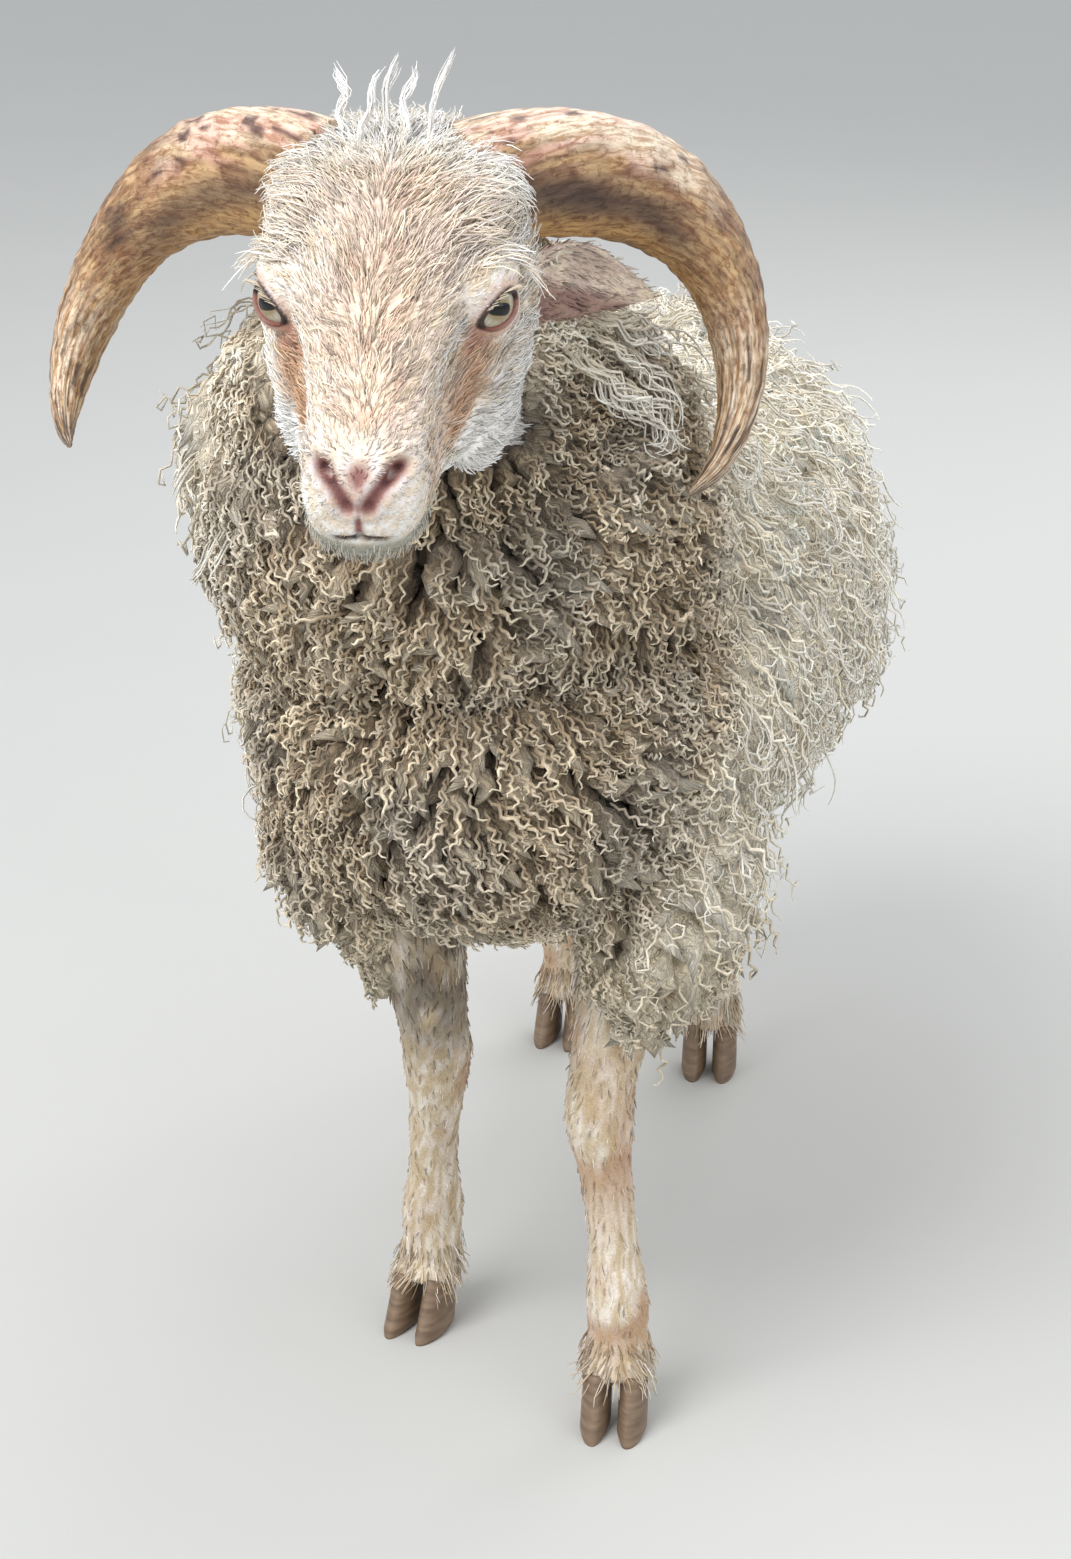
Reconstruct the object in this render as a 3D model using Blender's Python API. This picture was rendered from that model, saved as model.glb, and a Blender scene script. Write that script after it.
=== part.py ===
# Ouessant ram, standing, life size. Metres, +Z up.
# The sheep faces -Y and its left side is +X. The hooves stand on z = 0.
# Everything is modelled around the point on the ground between the fore feet,
# and at the end the whole animal is moved so that the middle of its box lies over the origin.

import math
import random

import bmesh
import bpy
import numpy as np
from mathutils import Matrix, Vector

# Driving sizes of the body
WITHERS_TIP = 0.512       # height of the fleece over the withers
GAP = 0.0003              # clearance between neighbouring pieces
CORE_SIDES = 16           # corners of a ring of the core of trunk and neck
LEG_SIDES = 12

# Trunk out to the tips of the fleece: distance behind the fore feet, half width, top, bottom
TRUNK = [
    (-0.128, 0.030, 0.400, 0.345),
    (-0.120, 0.066, 0.435, 0.310),
    (-0.098, 0.097, 0.462, 0.282),
    (-0.055, 0.123, 0.490, 0.258),
    (0.010, 0.138, WITHERS_TIP, 0.245),
    (0.085, 0.146, WITHERS_TIP, 0.236),
    (0.170, 0.153, 0.504, 0.228),
    (0.250, 0.154, 0.498, 0.232),
    (0.325, 0.147, 0.492, 0.248),
    (0.390, 0.128, 0.480, 0.275),
    (0.434, 0.098, 0.461, 0.314),
    (0.455, 0.060, 0.440, 0.354),
    (0.461, 0.027, 0.418, 0.382),
]

# Neck out to the tips: centre x, y, z, half width across, half depth
NECK = [
    (0.000, 0.050, 0.385, 0.112, 0.112),
    (-0.004, 0.008, 0.430, 0.122, 0.116),
    (-0.018, -0.030, 0.478, 0.126, 0.112),
    (-0.027, -0.060, 0.520, 0.114, 0.096),
    (-0.030, -0.085, 0.556, 0.089, 0.075),
    (-0.028, -0.098, 0.585, 0.062, 0.054),
    (-0.027, -0.102, 0.605, 0.038, 0.034),
    (-0.026, -0.104, 0.615, 0.016, 0.015),
]
# The fleece is a core with rounded clumps of wool set close on it, out to the tips
SEED = 13
CORE_INSET = 0.0260       # from the tips down to the core
CLUMP_SPACING = 0.0560
CLUMP_WIDTH = 0.0880
CLUMP_RISE = 0.0290       # tip over the core
CLUMP_SIDES = 6
CLUMP_LEAN = 0.28         # tip against root, along the lie of the wool, as a share of the width
CLUMP_TRIES = 9000
LEG_CLEARANCE = 0.030     # no clump is rooted this close to the middle of a leg
FLEECE_KEPT = 0.68        # share of the triangles of the joined clumps
WOOL_LIE = (0.0, 0.45, -1.0)
# Clumps down the back of the tail, set before the others: root and the way out
TAIL_CLUMPS = [
    ((0.0, 0.470, 0.410), (0.0, 0.9, 0.43)),
    ((0.0, 0.477, 0.354), (0.0, 1.0, 0.0)),
]
# Profile of a clump from its root in the core: share of the rise, share of the width
CLUMP_PROFILE = [(-0.35, 0.86), (0.22, 1.0), (0.66, 0.76)]
NECK_CUT_AT = (-0.004, -0.014, 0.446)
NECK_CUT_TILT = 42.0      # degrees between the cut and the ground

# Wool of shoulders and thighs: centre x, y, z, and radii across, along and up
LIMB_WOOL = {
    "shoulder_left": ((0.073, 0.000, 0.292), (0.051, 0.074, 0.094)),
    "shoulder_right": ((-0.064, 0.002, 0.316), (0.052, 0.074, 0.084)),
    "thigh_left": ((0.084, 0.352, 0.316), (0.058, 0.088, 0.108)),
    "thigh_right": ((-0.084, 0.360, 0.316), (0.058, 0.088, 0.108)),
}

# Head: the middle between the eyes, and how the face is turned
EYE_MIDDLE = (-0.0138, -0.172, 0.600)
HEAD_TURN = 5.5           # degrees to the sheep's left
HEAD_DROP = 29.0          # degrees below the level
HEAD_SIDES = 28

# Sections of the head, from the nose back: distance behind the eyes, top,
# brow (half width, height), cheek (half width, height), jaw (half width, height), bottom
HEAD = [
    (-0.1065, -0.012, (0.0080, -0.014), (0.0125, -0.020), (0.0085, -0.0285), -0.032),
    (-0.1045, -0.006, (0.0120, -0.008), (0.0182, -0.018), (0.0122, -0.0325), -0.0375),
    (-0.0980, -0.001, (0.0140, -0.003), (0.0222, -0.0165), (0.0152, -0.037), -0.043),
    (-0.0870, 0.004, (0.0145, 0.001), (0.0250, -0.016), (0.0182, -0.0395), -0.0465),
    (-0.0730, 0.009, (0.0145, 0.006), (0.0262, -0.016), (0.0202, -0.042), -0.0495),
    (-0.0550, 0.016, (0.0150, 0.012), (0.0275, -0.016), (0.0240, -0.044), -0.053),
    (-0.0360, 0.023, (0.0180, 0.018), (0.0320, -0.014), (0.0310, -0.047), -0.061),
    (-0.0180, 0.029, (0.0240, 0.024), (0.0390, -0.012), (0.0400, -0.049), -0.068),
    (0.0000, 0.035, (0.0310, 0.029), (0.0445, -0.010), (0.0470, -0.049), -0.073),
    (0.0200, 0.040, (0.0370, 0.033), (0.0500, -0.010), (0.0500, -0.048), -0.076),
    (0.0450, 0.041, (0.0390, 0.032), (0.0530, -0.010), (0.0480, -0.045), -0.072),
    (0.0700, 0.036, (0.0350, 0.026), (0.0470, -0.010), (0.0400, -0.040), -0.060),
    (0.0900, 0.022, (0.0230, 0.014), (0.0320, -0.012), (0.0250, -0.034), -0.044),
    (0.0980, 0.006, (0.0100, 0.002), (0.0130, -0.010), (0.0100, -0.022), -0.026),
]

# Eyes
EYE_RADIUS = 0.0118
EYE_OUT = 0.0405          # centre of the ball from the middle of the head
EYE_UP = 0.0025
EYE_AIM = 45.0            # degrees between the gaze and straight ahead
EYE_LIFT = 12.0
LID_DEPTH = 0.0022
OPENING_LONG = 43.0       # half angle of the opening along the face
OPENING_HIGH = 31.0
OPENING_TILT = 18.0       # the inner corner lies lower
BROW_AT = (0.006, 0.0310, 0.0075)
BROW_SIZE = (0.0215, 0.0215, 0.0185)
NOSTRIL_AT = (-0.1030, 0.0105, -0.0110)
NOSTRIL_SIZE = (0.0020, 0.0085, 0.0060)
NOSTRIL_TILT = 38.0       # the two slits lean towards each other below

# Horns: spiral in the plane beside the head, around a point behind and below the poll
HORN_CENTRE = (-0.0632, -0.0311)
HORN_START = 81.0
HORN_START_RADIUS = 0.0729
HORN_WIDTH = 0.0440
HORN_DEPTH = 0.0540
HORN_TIP = 0.07
LEFT_HORN = {"radius": 0.0705, "sweep": 173.0, "out": (0.0330, 0.300, -0.212)}
RIGHT_HORN = {"radius": 0.0555, "sweep": 184.0, "out": (0.0370, 0.300, -0.184)}

# Ears: root in head measures (behind the eyes, out, up), length and direction
EAR_ROOT = (0.050, 0.053, -0.032)
EAR_LENGTH = 0.082
EAR_WIDTH = 0.036
EAR_WALL = 0.0030
LEFT_EAR_BACK = 45.0
RIGHT_EAR_BACK = 72.0
EAR_DROP = 12.0

# Feet
SOLE_LENGTH = 0.041
FOOT_WIDTH = 0.0335
CLEFT = 0.0026
CORONET_FRONT = 0.0300
CORONET_BACK = 0.0190
TOE_SLOPE = 0.0170        # how far the front of the coronet lies behind the toe

# Legs: height, half width, half depth of each section, top to foot
FORE_SECTIONS = [
    (0.300, 0.0260, 0.0360),
    (0.265, 0.0245, 0.0330),
    (0.232, 0.0215, 0.0275),
    (0.205, 0.0185, 0.0225),
    (0.186, 0.0168, 0.0195),
    (0.170, 0.0168, 0.0192),
    (0.154, 0.0158, 0.0175),
    (0.138, 0.0135, 0.0148),
    (0.115, 0.0122, 0.0136),
    (0.092, 0.0122, 0.0138),
    (0.076, 0.0142, 0.0165),
    (0.062, 0.0155, 0.0182),
    (0.048, 0.0148, 0.0165),
]
HIND_SECTIONS = [
    (0.310, 0.0300, 0.0420),
    (0.275, 0.0270, 0.0370),
    (0.245, 0.0215, 0.0310),
    (0.222, 0.0175, 0.0260),
    (0.203, 0.0160, 0.0240),
    (0.188, 0.0162, 0.0230),
    (0.170, 0.0152, 0.0190),
    (0.150, 0.0132, 0.0158),
    (0.122, 0.0122, 0.0140),
    (0.096, 0.0122, 0.0140),
    (0.078, 0.0142, 0.0165),
    (0.063, 0.0155, 0.0182),
    (0.049, 0.0148, 0.0165),
]
# Each leg: toe (x, y), turn of the foot, and the middle line as (height, x, y)
LEGS = {
    "fore_leg_left": {
        "toe": (0.0618, -0.0552), "turn": 3.0, "sections": FORE_SECTIONS,
        "line": [(0.300, 0.0640, 0.0120), (0.232, 0.0580, -0.0080), (0.170, 0.0495, -0.0170),
                 (0.115, 0.0545, -0.0140), (0.062, 0.0595, -0.0160)],
    },
    "fore_leg_right": {
        "toe": (-0.0620, 0.0247), "turn": -13.0, "sections": FORE_SECTIONS,
        "line": [(0.300, -0.0600, 0.0060), (0.232, -0.0490, 0.0190), (0.170, -0.0430, 0.0320),
                 (0.115, -0.0480, 0.0460), (0.062, -0.0530, 0.0620)],
    },
    "hind_leg_left": {
        "toe": (0.0500, 0.3600), "turn": 4.0, "sections": HIND_SECTIONS,
        "line": [(0.310, 0.0740, 0.3600), (0.245, 0.0620, 0.4030), (0.190, 0.0540, 0.4310),
                 (0.122, 0.0500, 0.4150), (0.063, 0.0480, 0.3990)],
    },
    "hind_leg_right": {
        "toe": (-0.0500, 0.3870), "turn": -4.0, "sections": HIND_SECTIONS,
        "line": [(0.310, -0.0740, 0.3700), (0.245, -0.0620, 0.4170), (0.190, -0.0540, 0.4490),
                 (0.122, -0.0500, 0.4370), (0.063, -0.0480, 0.4260)],
    },
}

# Core of the tail: centre line (y, z) and half widths. It is parted from the rump by a block.
TAIL = [
    (0.400, 0.440, 0.022, 0.018),
    (0.430, 0.432, 0.026, 0.020),
    (0.456, 0.408, 0.026, 0.018),
    (0.464, 0.374, 0.024, 0.016),
    (0.465, 0.342, 0.018, 0.012),
    (0.464, 0.324, 0.008, 0.006),
]
TAIL_CUT_LOW = (-0.046, 0.449, 0.285)
TAIL_CUT_HIGH = (0.046, 0.600, 0.452)

# Long upright locks of the poll: root behind the eyes and out, then lean back and out, and length
POLL_LOCKS = [
    (0.052, -0.014, 0.10, 0.26, 0.032),
    (0.056, -0.005, 0.16, 0.08, 0.035),
    (0.050, 0.004, 0.06, 0.02, 0.031),
    (0.055, 0.014, 0.10, 0.22, 0.037),
    (0.062, -0.022, 0.30, -0.10, 0.025),
]
POLL_LOCK_WIDE = 0.0070
POLL_LOCK_THICK = 0.0030


# Materials
COLOURS = {
    "wool": ((0.62, 0.56, 0.46), 0.95),
    "face": ((0.66, 0.55, 0.42), 0.85),
    "leg": ((0.62, 0.52, 0.38), 0.85),
    "ear": ((0.60, 0.47, 0.40), 0.85),
    "eye": ((0.55, 0.52, 0.38), 0.10),
    "horn": ((0.36, 0.26, 0.15), 0.60),
    "claw": ((0.16, 0.13, 0.10), 0.55),
}


def material(name):
    found = bpy.data.materials.get(name)
    if found:
        return found
    colour, roughness = COLOURS[name]
    made = bpy.data.materials.new(name)
    made.use_nodes = True
    shader = made.node_tree.nodes["Principled BSDF"]
    shader.inputs["Base Color"].default_value = (*colour, 1.0)
    shader.inputs["Roughness"].default_value = roughness
    shader.inputs["Metallic"].default_value = 0.0
    return made


def clear_scene():
    for item in list(bpy.data.objects):
        bpy.data.objects.remove(item, do_unlink=True)


def collection(name):
    found = bpy.data.collections.get(name)
    if not found:
        found = bpy.data.collections.new(name)
        bpy.context.scene.collection.children.link(found)
    return found


def add_object(name, points, faces, group, finish="wool"):
    mesh = bpy.data.meshes.new(name)
    mesh.from_pydata([tuple(p) for p in points], [], faces)
    mesh.materials.append(material(finish))
    made = bpy.data.objects.new(name, mesh)
    collection(group).objects.link(made)
    return made


# Smooth curve through a table: row numbers may fall between the rows
def read_between(table, position):
    rows = np.asarray(table, float)
    last = len(rows) - 1
    position = min(max(position, 0.0), last)
    at = min(int(position), last - 1)
    t = position - at
    before, here, after, beyond = (rows[min(max(i, 0), last)] for i in range(at - 1, at + 3))
    slope_here = (after - before) / 2
    slope_after = (beyond - here) / 2
    return ((2 * t**3 - 3 * t**2 + 1) * here + (t**3 - 2 * t**2 + t) * slope_here
            + (3 * t**2 - 2 * t**3) * after + (t**3 - t**2) * slope_after)


# Skin over a row of rings with the same number of corners, closed at both ends
def loft_faces(rings, sides):
    faces = []
    for k in range(rings - 1):
        for i in range(sides):
            j = (i + 1) % sides
            here = k * sides
            after = here + sides
            faces.append((here + i, here + j, after + j))
            faces.append((here + i, after + j, after + i))
    first = rings * sides
    last = first + 1
    top = (rings - 1) * sides
    for i in range(sides):
        j = (i + 1) % sides
        faces.append((first, j, i))
        faces.append((last, top + i, top + j))
    return faces


def loft(name, rings, group, finish="wool", bulge=(0.0, 0.0)):
    """Rings run along the piece. Each end closes on a middle point, pushed out by its bulge."""
    sides = len(rings[0])
    points = [p for ring in rings for p in ring]
    middles = [sum(ring, Vector()) / sides for ring in rings]
    start = middles[0] + (middles[0] - middles[1]).normalized() * bulge[0]
    end = middles[-1] + (middles[-1] - middles[-2]).normalized() * bulge[1]
    made = add_object(name, points + [start, end], loft_faces(len(rings), sides), group, finish)
    point_outwards(made)
    return made


def point_outwards(piece):
    shape = bmesh.new()
    shape.from_mesh(piece.data)
    bmesh.ops.recalc_face_normals(shape, faces=shape.faces)
    shape.to_mesh(piece.data)
    shape.free()


# Rounded box section: full = 2 is an ellipse, higher is fuller at the corners
def oval(centre, across, upward, half_width, above, below, sides, full=2.0):
    ring = []
    for i in range(sides):
        angle = 2 * math.pi * i / sides
        c = math.cos(angle)
        s = math.sin(angle)
        x = math.copysign(abs(c) ** (2 / full), c) * half_width
        y = math.copysign(abs(s) ** (2 / full), s) * (above if s > 0 else below)
        ring.append(centre + across * x + upward * y)
    return ring


# Puts points and faces in a fixed order, as each run leaves them in another one
def fixed_order(shape):
    ranks = {item: rank for rank, item in enumerate(sorted(shape.verts, key=lambda p: p.co[:]))}
    shape.verts.sort(key=ranks.get)
    corners = {face: sorted(point.index for point in face.verts) for face in shape.faces}
    ranks = {item: rank for rank, item in enumerate(sorted(shape.faces, key=corners.get))}
    shape.faces.sort(key=ranks.get)


def ball(name, centre, radii, group, segments=16, rings=10, finish="wool", turn=None):
    shape = bmesh.new()
    bmesh.ops.create_uvsphere(shape, u_segments=segments, v_segments=rings, radius=1.0)
    bmesh.ops.triangulate(shape, faces=shape.faces)
    fixed_order(shape)
    place = Matrix.Diagonal((*radii, 1.0))
    if turn is not None:
        place = turn.to_4x4() @ place
    bmesh.ops.transform(shape, matrix=Matrix.Translation(centre) @ place, verts=shape.verts)
    mesh = bpy.data.meshes.new(name)
    shape.to_mesh(mesh)
    shape.free()
    mesh.materials.append(material(finish))
    made = bpy.data.objects.new(name, mesh)
    collection(group).objects.link(made)
    return made


# Booleans are applied at once, so that each piece ends as one plain mesh
def apply_modifiers(piece):
    bpy.context.view_layer.update()
    graph = bpy.context.evaluated_depsgraph_get()
    mesh = bpy.data.meshes.new_from_object(piece.evaluated_get(graph))
    piece.modifiers.clear()
    piece.data = mesh


def cut(piece, cutter, operation="DIFFERENCE", solver="EXACT"):
    modifier = piece.modifiers.new("Cut", "BOOLEAN")
    modifier.operation = operation
    modifier.solver = solver
    modifier.object = cutter
    apply_modifiers(piece)
    cutter.hide_render = True
    cutter.display_type = "WIRE"


def join(piece, group, solver="EXACT"):
    modifier = piece.modifiers.new("Join", "BOOLEAN")
    modifier.operation = "UNION"
    modifier.solver = solver
    modifier.operand_type = "COLLECTION"
    modifier.collection = collection(group)
    apply_modifiers(piece)
    for item in list(collection(group).objects):
        bpy.data.objects.remove(item, do_unlink=True)


# Drops the triangles that say least about the shape
def thin(piece, kept):
    tidy(piece)
    modifier = piece.modifiers.new("Thin", "DECIMATE")
    modifier.ratio = kept
    apply_modifiers(piece)
    tidy(piece)


# Takes away what a neighbour fills, and the gap around it
def clear_of(piece, neighbour):
    tidy(neighbour)
    grown = neighbour.copy()
    grown.data = neighbour.data.copy()
    grown.name = neighbour.name + "_grown"
    collection("cutters").objects.link(grown)
    swell = grown.modifiers.new("Swell", "DISPLACE")
    swell.mid_level = 0.0
    swell.strength = GAP * 1.2
    cut(piece, grown)


# Keeps the largest closed surface of a piece, in clean triangles
def tidy(piece):
    shape = bmesh.new()
    shape.from_mesh(piece.data)
    bmesh.ops.remove_doubles(shape, verts=shape.verts, dist=0.00002)
    bmesh.ops.triangulate(shape, faces=shape.faces)
    bmesh.ops.dissolve_degenerate(shape, dist=0.00001, edges=shape.edges)
    bmesh.ops.triangulate(shape, faces=shape.faces)
    left = set(shape.faces)
    islands = []
    while left:
        island = [left.pop()]
        for face in island:
            for edge in face.edges:
                for other in edge.link_faces:
                    if other in left:
                        left.remove(other)
                        island.append(other)
        islands.append(island)
    islands.sort(key=len, reverse=True)
    scraps = [face for island in islands[1:] for face in island]
    bmesh.ops.delete(shape, geom=scraps, context="FACES")
    fixed_order(shape)
    shape.to_mesh(piece.data)
    shape.free()


# Directions of the head
def head_axes():
    turn = math.radians(HEAD_TURN)
    drop = math.radians(HEAD_DROP)
    across = Vector((math.cos(turn), math.sin(turn), 0.0))
    ahead = Vector((math.cos(drop) * math.sin(turn), -math.cos(drop) * math.cos(turn),
                    -math.sin(drop)))
    upward = Vector((math.sin(drop) * math.sin(turn), -math.sin(drop) * math.cos(turn),
                     math.cos(drop)))
    return across, ahead, upward


def in_head(behind, out, up):
    across, ahead, upward = head_axes()
    return Vector(EYE_MIDDLE) - ahead * behind + across * out + upward * up


# Half outline of a head section, smooth from the top middle to the bottom middle
def head_outline(row, sides):
    behind, top, brow_w, brow_h, cheek_w, cheek_h, jaw_w, jaw_h, bottom = row
    half = [(0.0, top), (brow_w, brow_h), (cheek_w, cheek_h), (jaw_w, jaw_h), (0.0, bottom)]
    mirrored = [(-half[1][0], half[1][1])] + half + [(-half[3][0], half[3][1])]
    steps = sides // 2
    points = []
    for i in range(steps + 1):
        x, y = read_between(mirrored, 1 + 4 * i / steps)
        points.append((x, y))
    whole = points + [(-x, y) for x, y in reversed(points[1:-1])]
    return behind, whole


def flat_row(row):
    behind, top, brow, cheek, jaw, bottom = row
    return (behind, top, *brow, *cheek, *jaw, bottom)


def make_head():
    table = [flat_row(row) for row in HEAD]
    rings = []
    steps = 2 * (len(table) - 1)
    for k in range(steps + 1):
        behind, outline = head_outline(read_between(table, k / 2), HEAD_SIDES)
        rings.append([in_head(behind, x, y) for x, y in outline])
    head = loft("head", rings, "ouessant_sheep", "face", bulge=(0.0015, 0.002))
    make_face(head, table)
    return head


def eye_centre(side):
    return in_head(0.0, side * EYE_OUT, EYE_UP)


def eye_aim(side):
    across, ahead, upward = head_axes()
    turn = math.radians(EYE_AIM)
    lift = math.radians(EYE_LIFT)
    flat = ahead * math.cos(turn) + across * side * math.sin(turn)
    return flat * math.cos(lift) + upward * math.sin(lift)


# The opening between the lids is an almond cone from the middle of the ball
def lid_opening(side):
    aim = eye_aim(side)
    across, ahead, upward = head_axes()
    along = (ahead - aim * ahead.dot(aim)).normalized()
    high = (upward - aim * upward.dot(aim)).normalized()
    tilt = math.radians(-OPENING_TILT)
    along, high = (along * math.cos(tilt) + high * math.sin(tilt),
                   high * math.cos(tilt) - along * math.sin(tilt))
    rings = []
    for reach in (0.35, 2.2):
        ring = []
        for i in range(14):
            angle = 2 * math.pi * i / 14
            c = math.cos(angle)
            s = math.sin(angle)
            long = math.tan(math.radians(OPENING_LONG)) * math.copysign(abs(c) ** 0.9, c)
            tall = math.tan(math.radians(OPENING_HIGH)) * math.copysign(abs(s) ** 1.15, s)
            ring.append(eye_centre(side) + (aim + along * long + high * tall) * EYE_RADIUS * reach)
        rings.append(ring)
    return loft("lid_opening", rings, "cutters")


# Points on the surface of the head along one line of the outline
def along_outline(table, share, side, first, last, steps, sink=0.0):
    line = []
    for i in range(steps + 1):
        row = first + (last - first) * i / steps
        behind, outline = head_outline(read_between(table, row), 48)
        spot = outline[round(share * 24)]
        middle = sum(p[1] for p in outline) / len(outline)
        x = spot[0] * (1 - sink)
        y = spot[1] + (middle - spot[1]) * sink
        line.append(in_head(behind, side * x, y))
    return line


# Round bar along a line of points
def bar(name, line, radius, group, sides=6, finish="face"):
    rings = []
    for k, point in enumerate(line):
        run = (line[min(k + 1, len(line) - 1)] - line[max(k - 1, 0)]).normalized()
        across = run.orthogonal().normalized() if k == 0 else across - run * across.dot(run)
        across.normalize()
        upward = run.cross(across)
        size = radius(k / (len(line) - 1)) if callable(radius) else radius
        rings.append(oval(point, across, upward, size, size, size, sides))
    return loft(name, rings, group, finish)


# Orbits, lids, nostrils, nose and the line of the mouth
def make_face(head, table):
    across, ahead, upward = head_axes()
    frame = Matrix((across, -ahead, upward)).transposed()
    for side in (1, -1):
        lid = EYE_RADIUS + LID_DEPTH
        ball("lid", eye_centre(side), (lid, lid, lid), "head_pieces", 16, 10, "face")
        behind, out, up = BROW_AT
        ball("brow", in_head(behind, side * out, up), BROW_SIZE, "head_pieces", 12, 8, "face",
             turn=frame)
    poll_locks(table, "head_pieces")
    for share, size in ((0.65, 0.0030), (0.76, 0.0027)):
        right = along_outline(table, share, -1, 3.6, 0.6, 6, 0.10)
        left = along_outline(table, share, 1, 0.6, 3.6, 6, 0.10)
        bar("lip", right + left, lambda t, s=size: s * (0.35 + 0.65 * math.sin(math.pi * t)),
            "head_pieces", 6)
    join(head, "head_pieces")
    for side in (1, -1):
        cut(head, lid_opening(side))
        size = EYE_RADIUS + GAP
        cut(head, ball("socket", eye_centre(side), (size, size, size), "cutters", 16, 10))
        tilt = Matrix.Rotation(math.radians(NOSTRIL_TILT * side), 3, ahead)
        behind, out, up = NOSTRIL_AT
        cut(head, ball("nostril", in_head(behind, side * out, up), NOSTRIL_SIZE, "cutters", 10, 8,
                       turn=tilt @ frame))
    right = along_outline(table, 0.70, -1, 4.2, 0.3, 7)
    left = along_outline(table, 0.70, 1, 0.3, 4.2, 7)
    cut(head, bar("mouth", right + left, 0.0013, "cutters", 4))


def make_eye(side, name):
    size = EYE_RADIUS
    return ball(name, eye_centre(side), (size, size, size), "ouessant_sheep", 16, 10, "eye")


# Flat tapered locks that stand up from the poll, bending back at their tips
def poll_locks(table, group):
    across, ahead, upward = head_axes()
    for behind, out, back, aside, length in POLL_LOCKS:
        row = np.interp(behind, [line[0] for line in table], range(len(table)))
        top = read_between(table, row)[1]
        root = in_head(behind, out, top - 0.009)
        rings = []
        for t, share in ((0.0, 1.0), (0.35, 0.95), (0.68, 0.62), (0.90, 0.30)):
            bend = (back + 0.5 * t) * t
            here = root + (Vector((0, 0, 1)) + ahead * 0.1 - ahead * bend + across * aside * t) * length * t
            rings.append(oval(here, across, ahead, POLL_LOCK_WIDE / 2 * share, POLL_LOCK_THICK / 2 * share,
                              POLL_LOCK_THICK / 2 * share, 6))
        loft("poll_lock", rings, group, "face", bulge=(0.0, length * 0.10))


# Spiral that rises from the poll, goes back and down, and comes forward beside the cheek
def horn_point(side, shape, t):
    turn = math.radians(HEAD_TURN)
    across = Vector((math.cos(turn), math.sin(turn), 0.0))
    ahead = Vector((math.sin(turn), -math.cos(turn), 0.0))
    angle = math.radians(HORN_START + shape["sweep"] * t)
    radius = HORN_START_RADIUS + (shape["radius"] - HORN_START_RADIUS) * t
    start, grow, bend = shape["out"]
    out = start + grow * t + bend * t * t
    forward = HORN_CENTRE[0] + radius * math.cos(angle)
    height = HORN_CENTRE[1] + radius * math.sin(angle)
    place = Vector(EYE_MIDDLE) + across * side * out + ahead * forward
    return place + Vector((0.0, 0.0, height)), across * side


def horn(name, side, shape, group, grow=0.0, rings=21, sides=12):
    rows = []
    first = -0.03
    for k in range(rings):
        t = first + (1 - first) * k / (rings - 1)
        here, across = horn_point(side, shape, t)
        ahead = horn_point(side, shape, t + 0.01)[0]
        back = horn_point(side, shape, t - 0.01)[0]
        run = (ahead - back).normalized()
        outward = (across - run * across.dot(run)).normalized()
        radial = run.cross(outward).normalized()
        taper = 1 - (1 - HORN_TIP) * max(t, 0.0) ** 1.6
        wide = HORN_WIDTH / 2 * taper + grow
        deep = HORN_DEPTH / 2 * taper + grow
        rows.append(oval(here, radial, outward, deep, wide, wide * 0.92, sides))
    return loft(name, rows, group, "horn", bulge=(grow, 0.0012 + grow))


# Root of an ear, the way it points, the way it opens, and its width direction
def ear_axes(side, back):
    across, ahead, upward = head_axes()
    turn = math.radians(back)
    drop = math.radians(EAR_DROP)
    level_ahead = Vector((math.sin(math.radians(HEAD_TURN)), -math.cos(math.radians(HEAD_TURN)), 0))
    run = (across * side * math.cos(turn) - level_ahead * math.sin(turn)) * math.cos(drop)
    run = (run - Vector((0, 0, 1)) * math.sin(drop)).normalized()
    behind, out, up = EAR_ROOT
    open_to = (level_ahead * 0.75 + across * side * 0.45 - Vector((0, 0, 0.25)))
    open_to = (open_to - run * open_to.dot(run)).normalized()
    return in_head(behind, side * out, up), run, open_to, run.cross(open_to).normalized()


# Hollow in the wool of the neck that the ear lies in
def ear_room(side, back):
    root, run, open_to, wide = ear_axes(side, back)
    size = (EAR_LENGTH * 0.62, EAR_WIDTH * 0.46, EAR_WIDTH * 0.68)
    turn = Matrix((run, open_to, wide)).transposed()
    middle = root + run * EAR_LENGTH * 0.40 - open_to * 0.004
    return ball("ear_room", middle, size, "cutters", 20, 12, turn=turn)


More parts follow.
